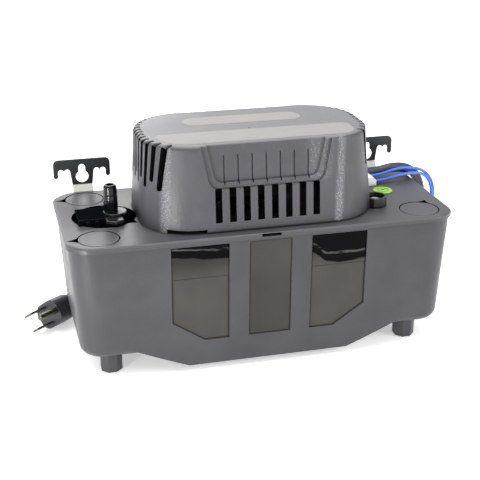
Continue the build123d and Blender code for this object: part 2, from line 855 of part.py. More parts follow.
def volute():
    """The pump's casing: a round chamber with its outlet set off to one side."""
    body = post(0, 0, volute_radius, volute_bottom, volute_top)
    stub = along_x(outlet_end + 13, discharge_y, discharge_z, discharge_radius + 1.6, 26)
    body += stub & block(outlet_end, 0, -volute_radius, 0, volute_bottom, volute_top)
    body -= post(0, 0, volute_cavity, volute_bottom, volute_top - volute_roof)
    body -= post(0, 0, 8.0, volute_bottom, volute_top)
    body -= along_x(outlet_end + 15, discharge_y, discharge_z, discharge_bore, 30)
    body -= along_x(outlet_end + outlet_socket / 2, discharge_y, discharge_z,
                    discharge_radius + seat_gap, outlet_socket)
    return body - each_volute_screw(volute_screw_radius, volute_bottom, volute_top)


def pump_base():
    """The cover under the casing, with the water inlet in a ring of short strainer feet."""
    body = post(0, 0, volute_radius, volute_bottom - base_thickness, volute_bottom)
    body -= post(0, 0, 8.5, volute_bottom - base_thickness, volute_bottom)
    for index in range(8):
        body += Rot(0, 0, 45 * index) * post(16, 0, 2.0, sump_bottom + tank_wall + slip,
                                            volute_bottom - base_thickness)
    return body - each_volute_screw(volute_screw_radius, volute_bottom - base_thickness, volute_bottom)


def impeller():
    """A disc with radial blades and a hub pressed on the shaft."""
    low = volute_bottom + 1.2
    body = post(0, 0, impeller_radius, low, low + 1.4) + post(0, 0, 5.5, low, low + 6)
    for index in range(impeller_blades):
        body += Rot(0, 0, 360 / impeller_blades * index) * block(
            4, impeller_radius - 0.4, -0.7, 0.7, low + 1.4, low + 5.6)
    return body - post(0, 0, shaft_radius, shaft_bottom, low + 6)


def discharge_tube():
    """The riser from the casing, along under the deck and up into the valve's socket."""
    start = (outlet_end + outlet_socket - 0.2, discharge_y, discharge_z)
    points = [start, (discharge_rise_x, discharge_y, discharge_z),
              (discharge_rise_x, discharge_y, discharge_level),
              (chamber_x, discharge_y, discharge_level),
              (chamber_x, discharge_y, valve_socket_low + valve_socket_depth)]
    path = FilletPolyline(*points, radius=discharge_bend)
    ring = Circle(discharge_radius) - Circle(discharge_bore)
    return sweep(Plane(origin=start, z_dir=(-1, 0, 0)) * ring, path=path)


# Float and switches
def float_block():
    body = block(float_x - float_length / 2, float_x + float_length / 2,
                 -float_width / 2, float_width / 2, float_bottom, float_top)
    return fillet(body.edges(), 3)


def float_arm():
    """A flat arm: level from its pin to past the rod, then down to the float's top."""
    half = arm_thickness / 2
    knee = rod_x + 6
    side = Polygon((arm_pivot_x, arm_pivot_z - half), (arm_pivot_x, arm_pivot_z + half),
                   (knee, arm_pivot_z + half), (float_x + 2, float_top + 3),
                   (float_x + 6, float_top + 3), (float_x + 6, float_top), (float_x - 8, float_top),
                   (float_x - 8, float_top + 3), (float_x - 3, float_top + 3),
                   (knee - 1.6, arm_pivot_z - half), align=None)
    arm = slab_xz(side, -arm_width / 2, arm_width / 2)
    arm += along_y(arm_pivot_x, 0, arm_pivot_z, 3.2, arm_width)
    return arm - along_y(arm_pivot_x, 0, arm_pivot_z, arm_pin_radius + running_fit, 12)


def arm_pin():
    return along_y(arm_pivot_x, 0, arm_pivot_z, arm_pin_radius, arm_width + 5.6)


crossbar_z = (lever_pivot_z - (rod_x - lever_pivot_x) * tan(lever_swing)
              - (lever_thickness / 2 + crossbar_radius + slip) / cos(lever_swing))


def push_rod():
    """A round-footed rod with a crossbar that lifts both switch levers."""
    foot = arm_pivot_z + arm_thickness / 2 + slip + rod_radius
    rod = post(rod_x, 0, rod_radius, foot, crossbar_z) + Pos(rod_x, 0, foot) * Sphere(rod_radius)
    return rod + along_y(rod_x, 0, crossbar_z, crossbar_radius, crossbar_length)


def switch_y(side):
    return side * (switch_width + switch_web) / 2


def switch_body(side):
    """A snap-action switch with ears for its lever and a hole for its button."""
    y = switch_y(side)
    left = lever_pivot_x - 2
    body = block(left, left + switch_length, y - switch_width / 2, y + switch_width / 2,
                 switch_bottom, switch_bottom + switch_height)
    for ear in (-1, 1):
        ear_y = y + ear * (lever_width / 2 + 0.2 + 0.6)
        body += block(left, left + 4, ear_y - 0.6, ear_y + 0.6, lever_pivot_z - 1.8, switch_bottom)
    body -= along_y(lever_pivot_x, y, lever_pivot_z, 0.8 + running_fit, 8)
    body -= post(button_x, y, button_radius + 0.08, switch_bottom, switch_bottom + 6)
    for x in (left + 3, left + switch_length - 3):
        body -= along_y(x, y, switch_screw_z, 1.5, switch_width)
    return body


switch_screw_z = switch_bottom + switch_height - 3.5


def switch_lever(side):
    """A leaf that slopes down from its pivot at rest and lies level when it is pushed."""
    y = switch_y(side)
    leaf = Pos(lever_reach / 2, 0, 0) * Box(lever_reach, lever_width, lever_thickness)
    leaf += Rot(90, 0, 0) * Cylinder(1.2, lever_width)
    leaf += Rot(90, 0, 0) * Cylinder(0.8, lever_width + 2.8)
    return Pos(lever_pivot_x, y, lever_pivot_z) * Rot(0, degrees(lever_swing), 0) * leaf


def switch_button(side):
    """A round-ended plunger that rests just above the lever."""
    y = switch_y(side)
    reach = button_x - lever_pivot_x
    centre = lever_pivot_z - reach * tan(lever_swing) + (
        button_radius + lever_thickness / 2 + slip * 0.7) / cos(lever_swing)
    return Pos(button_x, y, centre) * Sphere(button_radius) + post(
        button_x, y, button_radius, centre, switch_bottom + 3.4)


def switch_bracket():
    """A sheet foot on the deck and a web between the two switches."""
    left, right = lever_pivot_x, lever_pivot_x + lever_reach + 4.6
    leg_left = lever_pivot_x + lever_reach + 1.2
    half = switch_web / 2
    body = block(left, right, -half, half, switch_bottom, switch_bottom + switch_height)
    body += block(leg_left, right, -half, half, deck_top, switch_bottom)
    body += block(leg_left, right, -9, 9, deck_top, deck_top + switch_web)
    for x in (left + 1, left - 2 + switch_length - 3):
        body -= along_y(x, 0, switch_screw_z, 1.5, 4)
    return body


def switch_screws():
    """Two screws through both switches and the web between them."""
    group = None
    left = lever_pivot_x - 2
    reach = switch_width + switch_web / 2
    for x in (left + 3, left + switch_length - 3):
        one = along_y(x, 0, switch_screw_z, 1.45, 2 * reach)
        one += along_y(x, -reach - 1, switch_screw_z, 2.7, 2)
        group = one if group is None else group + one
    return group


# Small pieces on the deck
def green_disc():
    """A low domed marker with a ring and a dimple in its face."""
    top = deck_top + marker_height
    disc = post(marker_x, marker_y, marker_radius, deck_top, top)
    disc = fillet(disc.edges().group_by(Axis.Z)[-1], 0.6)
    for outer, inner, depth in ((4.4, 3.6, 0.3), (1.4, 0, 0.5)):
        groove = post(marker_x, marker_y, outer, top - depth, top)
        disc -= groove - post(marker_x, marker_y, inner, top - depth, top) if inner else groove
    return disc


def lead_bushing():
    """A nylon block on the deck that the two leads leave through."""
    top = deck_top + bushing_height
    body = block(bushing_left, bushing_right, bushing_front, bushing_back, deck_top, top)
    nose = body.edges().group_by(Axis.X)[-1].group_by(Axis.Z)[-1]
    body = chamfer(nose, 2.6)
    for x, y, z in (LEAD_FRONT[0], LEAD_BACK[0]):
        body -= along_x((bushing_left + bushing_right) / 2, y, z, lead_diameter / 2 + 0.1,
                        bushing_right - bushing_left)
    return body


def strain_relief():
    """A grommet in the cover's notch and a ribbed taper round the cord."""
    length = relief_end - relief_x
    base, tip = relief_base_radius, cord_diameter / 2 + 1.0
    points = [(0, 0), (base, 0), (base, 11.0)]
    ribs = 4
    step = (length - 11.0) / ribs
    for index in range(ribs):
        z = 11.0 + step * index
        outer = base - 0.4 - (base - 0.4 - tip) * (index + 1) / ribs
        points += [(outer, z), (outer, z + step * 0.6), (outer - 0.6, z + step * 0.6),
                   (outer - 0.6, z + step)]
    points += [(0, length)]
    profile = make_face(Polyline(*points, close=True))
    body = Pos(relief_x, relief_y, relief_z) * Rot(0, 90, 0) * revolve(Plane.XZ * profile, Axis.Z)
    return body + block(relief_x, relief_x + 11.0, relief_y - base, relief_y + base, deck_top, relief_z)


# Free cords. The points are the corners of the route, chosen by hand.
CORD_UPPER = [
    (relief_end, relief_y, relief_z), (113, relief_y, relief_z), (124, 31.2, 112.0), (135, 31.4, 111.6),
    (144.5, 33.2, 106.6), (151, 36.5, 97.8), (155.2, 40.5, 87.0), (157, 45, 74), (157, 51, 59.5),
    (154.5, 58.5, 44), (148.5, 67.5, 29), (139, 77, 16.0), (126, 84.5, 8.0), (109, 88.5, 4.8),
    (88, 88.8, 3.85), (62, 86.8, 3.8), (36, 86.0, 3.8), (12, 86.05, 3.8),
]
CORD_PLUG_END = [
    (4, 86.05, 3.8), (-20, 86.0, 3.8), (-44, 88.0, 3.85), (-65, 92.0, 4.0), (-86, 93.4, 5.2),
    (-104.0, 82.6, 8.4), (-118.29, 68.55, 9.56),
]
LEAD_FRONT = [
    (104.5, 19, 106.2), (113, 19, 106.2), (126, 20.4, 108.5), (139, 22.8, 109.3), (149.5, 25, 107.0),
    (156.8, 27.5, 100.0), (161, 30.0, 88), (161.5, 33.0, 73), (159, 37.5, 57), (154.5, 44, 41),
    (148.5, 53, 26.5), (141, 65, 13.5), (133, 80, 4.0), (126, 97, 1.3), (121, 115, 1.15),
]
LEAD_BACK = [
    (103.5, 24.2, 108.9), (112, 24.2, 108.9), (124, 25.0, 112.2), (137, 26.0, 112.8),
    (149.5, 28.2, 109.6), (158.8, 31.5, 101.7), (164.4, 34.5, 90.5), (165.5, 38.5, 75.5),
    (163.5, 43.5, 59.5), (159.5, 50.5, 43), (153, 59.5, 27.5), (146, 71, 14), (139, 85.5, 4.5),
    (133, 101, 1.4), (129, 118, 1.15),
]


def turn_radii(points, diameter, name):
    """One radius for each corner: 0.45 of the shorter run over the tangent of half the turn."""
    radii = []
    for before, here, after in zip(points, points[1:], points[2:]):
        run_in, run_out = Vector(here) - Vector(before), Vector(after) - Vector(here)
        half_turn = radians(run_in.get_angle(run_out)) / 2
        radii.append(0.45 * min(run_in.length, run_out.length) / tan(half_turn))
    print(name, "radii", [round(r, 1) for r in radii], "least in diameters",
          round(min(radii) / diameter, 1))
    return radii


def cord_tube(points, diameter, name):
    """A round tube along straight runs joined by tangent arcs."""
    path = FilletPolyline(*points, radius=turn_radii(points, diameter, name))
    start = Plane(origin=points[0], z_dir=Vector(points[1]) - Vector(points[0]))
    tube = sweep(start * Circle(diameter / 2), path=path)
    section = pi * diameter ** 2 / 4
    print(name, "length", round(path.length, 1), "volume over section times length",
          round(tube.volume / (section * path.length), 4))
    return tube


def cord_coil():
    """The outer shape of the put-away turns, lying on the floor plane."""
    width, height = coil_columns * cord_diameter, coil_layers * cord_diameter
    section = Pos(coil_mean_radius, height / 2) * RectangleRounded(width, height, cord_diameter * 0.45)
    return Pos(coil_x, coil_y, 0) * revolve(Plane.XZ * section, Axis.Z)


def lead_end(points):
    """The stripped copper at a lead's end."""
    tip, before = Vector(points[-1]), Vector(points[-2])
    return Plane(origin=tip, z_dir=tip - before) * Pos(0, 0, 4) * Cylinder(0.6, 8)


# Mains plug
PLUG_FACE = Plane(origin=(-150.4, 38.6, 12.2), x_dir=(-0.36, 0.49, 0.79), z_dir=(-0.73, -0.68, 0.06))
plug_width = 20.0
plug_height = 24.0
plug_length = 34.0
blade_spacing = 12.7


def plug_sections():
    """Heights and sizes of the plug's moulded body, from its face back to the cord."""
    neck = cord_diameter + 3.0
    return [(0.0, plug_width, plug_height, 7.5), (-15.0, plug_width, plug_height, 7.5),
            (-plug_length + 6, neck + 3.5, neck + 4.5, 6.0), (-plug_length, neck, neck, neck / 2 - 0.1)]


def plug_body():
    sections = plug_sections()
    body = None
    for upper, lower in zip(sections, sections[1:]):
        faces = [Pos(0, 0, z) * RectangleRounded(w, h, r) for z, w, h, r in (upper, lower)]
        piece = loft(faces)
        body = piece if body is None else body + piece
    for index in range(4):
        z = -plug_length + 8.5 + 3.0 * index
        rim = Pos(0, 0, z) * extrude(Rectangle(60, 60), amount=1.2)
        core = Pos(0, 0, z) * extrude(RectangleRounded(neck_size(z), neck_size(z) + 1.5, 4.5), amount=1.2)
        body -= rim - core
    end = Pos(0, 0, -plug_length - 5) * Cylinder(cord_diameter / 2 + 0.9, 10.0)
    return PLUG_FACE * (body + end)


def neck_size(z):
    """The width left between the plug's ribs at a height."""
    return cord_diameter + 4.4 + (z + plug_length) * 0.42


def plug_blades():
    """Two flat blades, the wider one on one side."""
    group = None
    for side, width in ((-1, 6.4), (1, 8.0)):
        blade = Pos(side * blade_spacing / 2, 3.0, 8.5) * Box(1.5, width, 17)
        blade -= Pos(side * blade_spacing / 2, 3.0, 13.5) * Rot(0, 90, 0) * Cylinder(1.5, 4)
        group = blade if group is None else group + blade
    return PLUG_FACE * group


def plug_ground_pin():
    """The round earth pin, longer than the blades."""
    pin = Pos(0, -8.9, 9.5) * Cylinder(2.4, 19)
    return PLUG_FACE * fillet(pin.edges().group_by(Axis.Z)[-1], 1.4)


# Every piece, by its name
def build():
    pieces = {
        "tank": tank(),
        "hanger_left": hanger(-hanger_x),
        "hanger_right": hanger(hanger_x),
        "hanger_screws": hanger_screw(-hanger_x) + hanger_screw(hanger_x),
        "deck": deck(),
        "valve_body": valve_body(),
        "valve_cap": valve_cap(),
        "valve_seal": valve_seal(),
        "discharge_barb": discharge_barb(),
        "valve_lock_ring": valve_lock_ring(),
        "valve_ball": valve_ball(),
        "motor_cover": motor_cover(),
        "cover_screw": cover_screw(),
        "stator_laminations": stator(),
        "stator_winding": winding(),
        "motor_bracket_lower": motor_bracket(False),
        "motor_bracket_upper": motor_bracket(True),
        "bearing_lower": bearing(False),
        "bearing_upper": bearing(True),
        "motor_screws": motor_screws(),
        "rotor": rotor(),
        "motor_shaft": shaft(),
        "cooling_fan": fan(),
        "impeller": impeller(),
        "pump_column": column(),
        "column_screws": column_screws(),
        "volute": volute(),
        "volute_screws": volute_screws(),
        "pump_base": pump_base(),
        "discharge_tube": discharge_tube(),
        "float": float_block(),
        "float_arm": float_arm(),
        "float_arm_pin": arm_pin(),
        "push_rod": push_rod(),
        "switch_bracket": switch_bracket(),
        "switch_screws": switch_screws(),
        "green_disc": green_disc(),
        "lead_bushing": lead_bushing(),
        "strain_relief": strain_relief(),
        "power_cord": cord_tube(CORD_UPPER, cord_diameter, "power_cord"),
        "power_cord_end": cord_tube(CORD_PLUG_END, cord_diameter, "power_cord_end"),
        "cord_coil": cord_coil(),
        "safety_lead_front": cord_tube(LEAD_FRONT, lead_diameter, "safety_lead_front"),
        "safety_lead_back": cord_tube(LEAD_BACK, lead_diameter, "safety_lead_back"),
        "lead_ends": lead_end(LEAD_FRONT) + lead_end(LEAD_BACK),
        "plug_body": plug_body(),
        "plug_blades": plug_blades(),
        "plug_ground_pin": plug_ground_pin(),
    }
    for name, x, y, _ in inlet_places():
        pieces[name] = inlet_plug(x, y)
    for name, side in (("run", -1), ("safety", 1)):
        pieces[f"{name}_switch_body"] = switch_body(side)
        pieces[f"{name}_switch_lever"] = switch_lever(side)
        pieces[f"{name}_switch_button"] = switch_button(side)
    return pieces


for name, shape in build().items():
    save(shape, name)
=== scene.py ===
from math import cos, pi, radians

import bpy
import numpy as np
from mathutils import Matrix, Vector


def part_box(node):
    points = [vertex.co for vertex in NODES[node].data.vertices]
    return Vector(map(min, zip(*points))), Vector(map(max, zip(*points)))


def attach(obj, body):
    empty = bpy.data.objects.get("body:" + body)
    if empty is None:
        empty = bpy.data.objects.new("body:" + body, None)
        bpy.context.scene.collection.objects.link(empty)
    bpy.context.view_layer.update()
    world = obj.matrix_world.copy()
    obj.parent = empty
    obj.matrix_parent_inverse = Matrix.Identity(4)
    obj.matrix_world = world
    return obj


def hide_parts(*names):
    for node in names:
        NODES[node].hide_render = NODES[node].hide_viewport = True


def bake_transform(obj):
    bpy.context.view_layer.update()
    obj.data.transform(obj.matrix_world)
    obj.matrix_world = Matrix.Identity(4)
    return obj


bl_info = {
    "name": "Condensate pump looks",
    "version": (1, 0, 0),
    "blender": (4, 5, 0),
    "location": "View3D > Sidebar > Pump",
    "description": "Finishes, cords and small surface pieces for a condensate pump, with its studio",
    "category": "Object",
}

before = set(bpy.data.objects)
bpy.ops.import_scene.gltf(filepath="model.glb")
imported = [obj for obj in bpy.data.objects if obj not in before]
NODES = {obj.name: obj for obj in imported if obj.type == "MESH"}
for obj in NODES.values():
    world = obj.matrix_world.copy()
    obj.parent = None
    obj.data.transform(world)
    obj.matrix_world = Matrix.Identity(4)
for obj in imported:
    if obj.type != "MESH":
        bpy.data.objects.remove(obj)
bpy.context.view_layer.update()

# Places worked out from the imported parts, in metres
DECK_LOW, DECK_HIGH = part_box("deck")
COVER_LOW, COVER_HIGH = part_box("motor_cover")
TANK_LOW, TANK_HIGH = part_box("tank")
WINDING_LOW, WINDING_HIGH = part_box("stator_winding")
LEG_LOW, LEG_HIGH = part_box("stator_laminations")
COIL_LOW, COIL_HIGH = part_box("cord_coil")
RING_LOW, RING_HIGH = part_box("valve_lock_ring")
SCREW_LOW, SCREW_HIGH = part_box("cover_screw")
INLETS = [sum(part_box(f"inlet_plug_{place}"), Vector()) / 2 for place in ("left_back", "left_front", "right_front")]
DECK_TOP = TANK_HIGH.z + 0.004
MIDDLE = Vector(((DECK_LOW.x + DECK_HIGH.x) / 2, (DECK_LOW.y + DECK_HIGH.y) / 2, 0.0))
MM = 0.001

# Polished panels of the tank's front wall
PANEL_TOP = 98.0 * MM
PANEL_BOTTOM = 24.8 * MM
SIDE_PANEL_INNER = 30.0 * MM
SIDE_PANEL_OUTER = 71.2 * MM
SIDE_PANEL_CUT_X = 48.0 * MM
SIDE_PANEL_CUT_Z = 40.6 * MM
MIDDLE_PANEL_HALF = 15.5 * MM
PANEL_CREASE = 73.3 * MM
# Heights of the dark band and its streak in the panels' painted reflection
PANEL_BAND_LOW = 87.0 * MM
PANEL_STREAK = 93.0 * MM

# The ends of the tank and the deck, as the solids have them and as the photograph shows them
TANK_FLOOR = 18.0 * MM
TANK_HALF = (139.0 * MM, 59.0 * MM)
TANK_DRAFT = (10.5 * MM, 2.0 * MM)
TANK_CORNER = 23.0 * MM
TRUE_TANK_LENGTH = 139.6 * MM
TRUE_TANK_DRAFT = 4.7 * MM
DECK_HALF = (140.0 * MM, 60.0 * MM)
DECK_CORNER = 24.0 * MM
TRUE_CORNER = 17.5 * MM
DECK_STRETCH = 1.3 * MM
COVER_HALF = (87.5 * MM, 52.0 * MM)
COVER_DRAFT = 5.6 * MM
COVER_CORNER = 38.0 * MM
# How far inside the cover's wall, and how far below the deck's top, faces get painted shade
COVER_SKIN = 0.45 * MM
COVER_RIM = 2.0 * MM
DECK_EDGE = 2.2 * MM
DECK_SUNK = (0.4 * MM, 2.45 * MM)
COVER_END_LEAN = 1.55 * MM
CUP_REACH = (7.5 * MM, 12.0 * MM)
FOOT_PLACE = (113.0 * MM, 36.8 * MM)
HANGER_PAD = (104.0 * MM, 127.0 * MM, 55.0 * MM)

# Bare plates on the cover's top
BACK_PLATE_HALF = (44.3 * MM, 10.4 * MM)
BACK_PLATE_PLACE = (-2.2 * MM, 15.6 * MM)
BACK_PLATE_CORNERS = (9.2 * MM, 9.2 * MM, 9.2 * MM, 9.2 * MM)
FRONT_PLATE_HALF = (71.0 * MM, 13.6 * MM)
FRONT_PLATE_PLACE = (-1.6 * MM, -25.6 * MM)
FRONT_PLATE_CORNERS = (13.0 * MM, 6.0 * MM, 4.0 * MM, 23.0 * MM)
PLATE_THICKNESS = 0.18 * MM
# Bands of painted sheen and glints on the cover's corners and grip, and the pitch of the grip's grooves, which get
# painted shade
FLECKS_LEFT = -72.3 * MM
FLECKS_LEAN = 0.055
FLECKS_RIGHT = 51.5 * MM
FLECKS_GRIP = 36.0 * MM
FLECKS_GRIP_LOW = 134.0 * MM
GROOVE_PITCH = 10.08 * MM
# Radius of the painted shade line round each inlet
INLET_RING = 14.4 * MM
GRIP_LOW = 134.2 * MM
GRIP_HALF = 48.0 * MM
GATE_MARK_PLACE = (-2.9 * MM, -8.4 * MM)
GATE_MARK_RADIUS = 0.75 * MM

# Free cords, drawn about the middle of the deck. These are the corners of each route.
CORD_TO_COIL = [
    (0.103, 0.032, 0.1092), (0.113, 0.032, 0.1092), (0.124, 0.0312, 0.112), (0.135, 0.0314, 0.1116),
    (0.1445, 0.0332, 0.1066), (0.151, 0.0365, 0.0978), (0.1552, 0.0405, 0.087), (0.157, 0.045, 0.074),
    (0.157, 0.051, 0.0595), (0.1545, 0.0585, 0.044), (0.1485, 0.0675, 0.029), (0.139, 0.077, 0.016),
    (0.126, 0.0845, 0.008), (0.109, 0.0882, 0.0048), (0.088, 0.0872, 0.00385), (0.062, 0.0822, 0.0038),
    (0.036, 0.0785, 0.0038),
]
CORD_TO_PLUG = [
    (-0.016, 0.0776, 0.0104), (-0.038, 0.0808, 0.0052), (-0.062, 0.0882, 0.0039),
    (-0.086, 0.0932, 0.0052), (-0.104, 0.0826, 0.0084), (-0.11829, 0.06855, 0.00956),
]
LEAD_FRONT = [
    (0.1045, 0.019, 0.1062), (0.113, 0.019, 0.1062), (0.126, 0.0204, 0.1085), (0.139, 0.0228, 0.1093),
    (0.1495, 0.025, 0.107), (0.1568, 0.0275, 0.1), (0.161, 0.03, 0.088), (0.1615, 0.033, 0.073),
    (0.159, 0.0375, 0.057), (0.1545, 0.044, 0.041), (0.1485, 0.053, 0.0265), (0.141, 0.065, 0.0135),
    (0.133, 0.08, 0.004), (0.126, 0.097, 0.0013), (0.121, 0.115, 0.00115),
]
LEAD_BACK = [
    (0.1035, 0.0242, 0.1089), (0.112, 0.0242, 0.1089), (0.124, 0.025, 0.1122), (0.137, 0.026, 0.1128),
    (0.1495, 0.0282, 0.1096), (0.1588, 0.0315, 0.1017), (0.1644, 0.0345, 0.0905),
    (0.1655, 0.0385, 0.0755), (0.1635, 0.0435, 0.0595), (0.1595, 0.0505, 0.043),
    (0.153, 0.0595, 0.0275), (0.146, 0.071, 0.014), (0.139, 0.0855, 0.0045), (0.133, 0.101, 0.0014),
    (0.129, 0.118, 0.00115),
]
COIL_TURN_POINTS = 16
COIL_INNER_BULGE = 0.45


def colour(code):
    """A linear colour from six hexadecimal digits."""
    parts = [int(code[i:i + 2], 16) / 255 for i in (0, 2, 4)]
    return tuple(p / 12.92 if p <= 0.04045 else ((p + 0.055) / 1.055) ** 2.4 for p in parts) + (1.0,)


def finish_colour(name, code, description):
    """A colour that the user can change."""
    return bpy.props.FloatVectorProperty(
        name=name, description=description, subtype="COLOR", size=4, min=0.0, max=1.0,
        default=colour(code))


def length(name, value, description):
    """A size in metres that the user can change."""
    return bpy.props.FloatProperty(name=name, description=description, default=value, min=0.0, unit="LENGTH",
                                   precision=5)


class PumpCords(bpy.types.PropertyGroup):
    cord_diameter: length("Power cord", 7.6 * MM, "Outside diameter of the power cord")
    lead_diameter: length("Safety lead", 2.3 * MM, "Outside diameter of each blue lead")
    spacing: length("Ring spacing", 2.0 * MM, "Distance between the rings of a cord's mesh")
    sides: bpy.props.IntProperty(name="Sides", description="Faces round a cord", default=20, min=6)
    turns: bpy.props.IntProperty(name="Turns", description="Turns of the put-away coil", default=5, min=1)


class PumpWinding(bpy.types.PropertyGroup):
    wire: length("Wire", 0.62 * MM, "Pitch of the winding's visible turns")
    ridge: length("Ridge", 0.22 * MM, "Height of each turn above the valley beside it")


class PumpFinishes(bpy.types.PropertyGroup):
    tank: finish_colour("Tank", "3d3d3f", "Moulded tank")
    deck: finish_colour("Deck", "464649", "Moulded deck and inlet plugs")
    cover: finish_colour("Cover", "434246", "Moulded motor cover")
    # Painted light: the cover's top is given a paler colour than its walls.
    cover_top_painted_light: finish_colour("Cover top", "6f6e70", "The cover's flat top")
    panel: finish_colour("Polished panels", "33312d", "Smoked, polished panels of the tank")
    plate: finish_colour("Bare plates", "8a8988", "The two bare plates on the cover")
    black: finish_colour("Valve", "101114", "Check valve and barb")
    lock_ring: finish_colour("Lock ring", "727375", "The ring round the barb")
    hanger: finish_colour("Hanger paint", "1d1f22", "Black paint on the hangers")
    zinc: finish_colour("Bare steel", "b4b2ae", "Zinc plate where the hangers are bare")
    lead: finish_colour("Leads", "2a5fd0", "Insulation of the two leads")
    cord: finish_colour("Cord", "29292d", "Jacket of the power cord and its plug")
    marker: finish_colour("Marker", "80b026", "The round marker on the deck")
    bushing: finish_colour("Bushing", "f0f0f4", "The leads' nylon bushing")
    copper: finish_colour("Copper", "8a3f22", "Enamelled and bare copper")
    brass: finish_colour("Blades", "6e6a62", "Plug blades and pin")


class PumpStage(bpy.types.PropertyGroup):
    lens: bpy.props.FloatProperty(name="Lens", description="Focal length on a 36 mm sensor", default=79.425,
                                  unit="CAMERA")
    camera_place: bpy.props.FloatVectorProperty(
        name="Camera", description="Where the camera stands", subtype="XYZ", unit="LENGTH",
        default=(-0.1926, -0.71815, 0.3736))
    aim: bpy.props.FloatVectorProperty(
        name="Aim", description="The point that the camera looks at", subtype="XYZ", unit="LENGTH",
        default=(-0.00561, 0.00426, 0.0723))
    floor: finish_colour("Floor", "fafafa", "The plain pale floor")
    floor_glow: bpy.props.FloatProperty(name="Floor glow", description="Light of its own that the lit table gives",
                                        default=0.4, min=0.0)
    floor_size: length("Floor size", 14.0, "Side of the square floor")


# Shader arithmetic
def put(tree, socket, value):
    """Feeds a socket from another socket, or gives it a plain value."""
    value = getattr(value, "socket", value)
    if isinstance(value, bpy.types.NodeSocket):
        tree.links.new(value, socket)
    else:
        socket.default_value = value


def node(tree, kind, inputs=None, **settings):
    """Adds a node with its settings, and its inputs by name or number."""
    made = tree.nodes.new(kind)
    for key, value in settings.items():
        setattr(made, key, value)
    for key, value in (inputs or {}).items():
        put(tree, made.inputs[key], value)
    return made


class Wire:
    """A number in a node tree, so that arithmetic on it lays out Math nodes."""

    def __init__(self, tree, socket):
        self.tree = tree
        self.socket = socket

    def math(self, operation, *others):
        made = node(self.tree, "ShaderNodeMath", dict(enumerate((self, *others))), operation=operation)
        return Wire(self.tree, made.outputs[0])

    def __add__(self, other):
        return self.math("ADD", other)

    def __sub__(self, other):
        return self.math("SUBTRACT", other)

    def __mul__(self, other):
        return self.math("MULTIPLY", other)

    def size(self):
        return self.math("ABSOLUTE")

    def least(self, other):
        return self.math("MINIMUM", other)

    def most(self, other):
        return self.math("MAXIMUM", other)

    def flip(self):
        """One minus the number."""
        return Wire(self.tree, node(self.tree, "ShaderNodeMath", {0: 1.0, 1: self},
                                    operation="SUBTRACT").outputs[0])

    def step(self, low, high, to_low=0.0, to_high=1.0):
        """Rises smoothly from to_low to to_high while the number goes from low to high."""
        made = node(self.tree, "ShaderNodeMapRange",
                    {"Value": self, "From Min": low, "From Max": high, "To Min": to_low, "To Max": to_high},
                    interpolation_type="SMOOTHSTEP")
        return Wire(self.tree, made.outputs["Result"])


def mix(tree, share, first, second):
    """A colour between two colours."""
    made = node(tree, "ShaderNodeMix", {"Factor": share}, data_type="RGBA")
    put(tree, made.inputs[6], first)
    put(tree, made.inputs[7], second)
    return made.outputs[2]


def object_point(tree):
    """The point on the piece, whose object sits at the origin."""
    return node(tree, "ShaderNodeTexCoord").outputs["Object"]


def axes(tree, point):
    """The three numbers of a point."""
    split = node(tree, "ShaderNodeSeparateXYZ", {0: point})
    return [Wire(tree, out) for out in split.outputs]


def stretched(tree, point, scale):
    """A point scaled along the axes, so that a pattern runs long one way."""
    return node(tree, "ShaderNodeMapping", {"Vector": point, "Scale": scale}).outputs[0]


def noise(tree, point, scale, detail=2.0, roughness=0.5):
    made = node(tree, "ShaderNodeTexNoise", {"Vector": point, "Scale": scale, "Detail": detail,
                                             "Roughness": roughness})
    return Wire(tree, made.outputs["Fac"])


def new_group(name, inputs, outputs):
    """An empty shader group with named sockets, and its input and output nodes."""
    tree = bpy.data.node_groups.new(name, "ShaderNodeTree")
    for label, kind, value in inputs:
        socket = tree.interface.new_socket(name=label, in_out="INPUT", socket_type=kind)
        if value is not None:
            socket.default_value = value
    for label, kind in outputs:
        tree.interface.new_socket(name=label, in_out="OUTPUT", socket_type=kind)
    return tree, tree.nodes.new("NodeGroupInput"), tree.nodes.new("NodeGroupOutput")


def use_group(tree, name, inputs):
    """Places a group in a tree and feeds its inputs by name."""
    made = tree.nodes.new("ShaderNodeGroup")
    made.node_tree = bpy.data.node_groups[name]
    for key, value in inputs.items():
        put(tree, made.inputs[key], value)
    return made


def make_mould_grain():
    """Spark-eroded mould texture: fine pits, a soft uneven patchiness, and a mask of scattered flecks where painted
    glints go.
    """
    tree, inputs, outputs = new_group(
        "mould_grain",
        [("Point", "NodeSocketVector", None), ("Grain Scale", "NodeSocketFloat", 1800.0),
         ("Patch Scale", "NodeSocketFloat", 26.0)],
        [("Height", "NodeSocketFloat"), ("Patch", "NodeSocketFloat"), ("Fleck", "NodeSocketFloat")])
    point = inputs.outputs["Point"]
    grain_scale = Wire(tree, inputs.outputs["Grain Scale"])
    pits = noise(tree, point, grain_scale, 3.0, 0.6)
    cells = node(tree, "ShaderNodeTexVoronoi", {"Vector": point, "Scale": grain_scale * 0.45})
    height = pits * 0.7 + Wire(tree, cells.outputs["Distance"]) * 0.5
    patch = noise(tree, point, inputs.outputs["Patch Scale"], 4.0, 0.55).step(0.3, 0.7)
    chance = Wire(tree, node(tree, "ShaderNodeSeparateColor", {0: cells.outputs["Color"]}).outputs[0])
    near = Wire(tree, cells.outputs["Distance"]).step(0.38, 0.14)
    put(tree, outputs.inputs["Height"], height)
    put(tree, outputs.inputs["Patch"], patch)
    put(tree, outputs.inputs["Fleck"], chance.step(0.36, 0.5) * near)


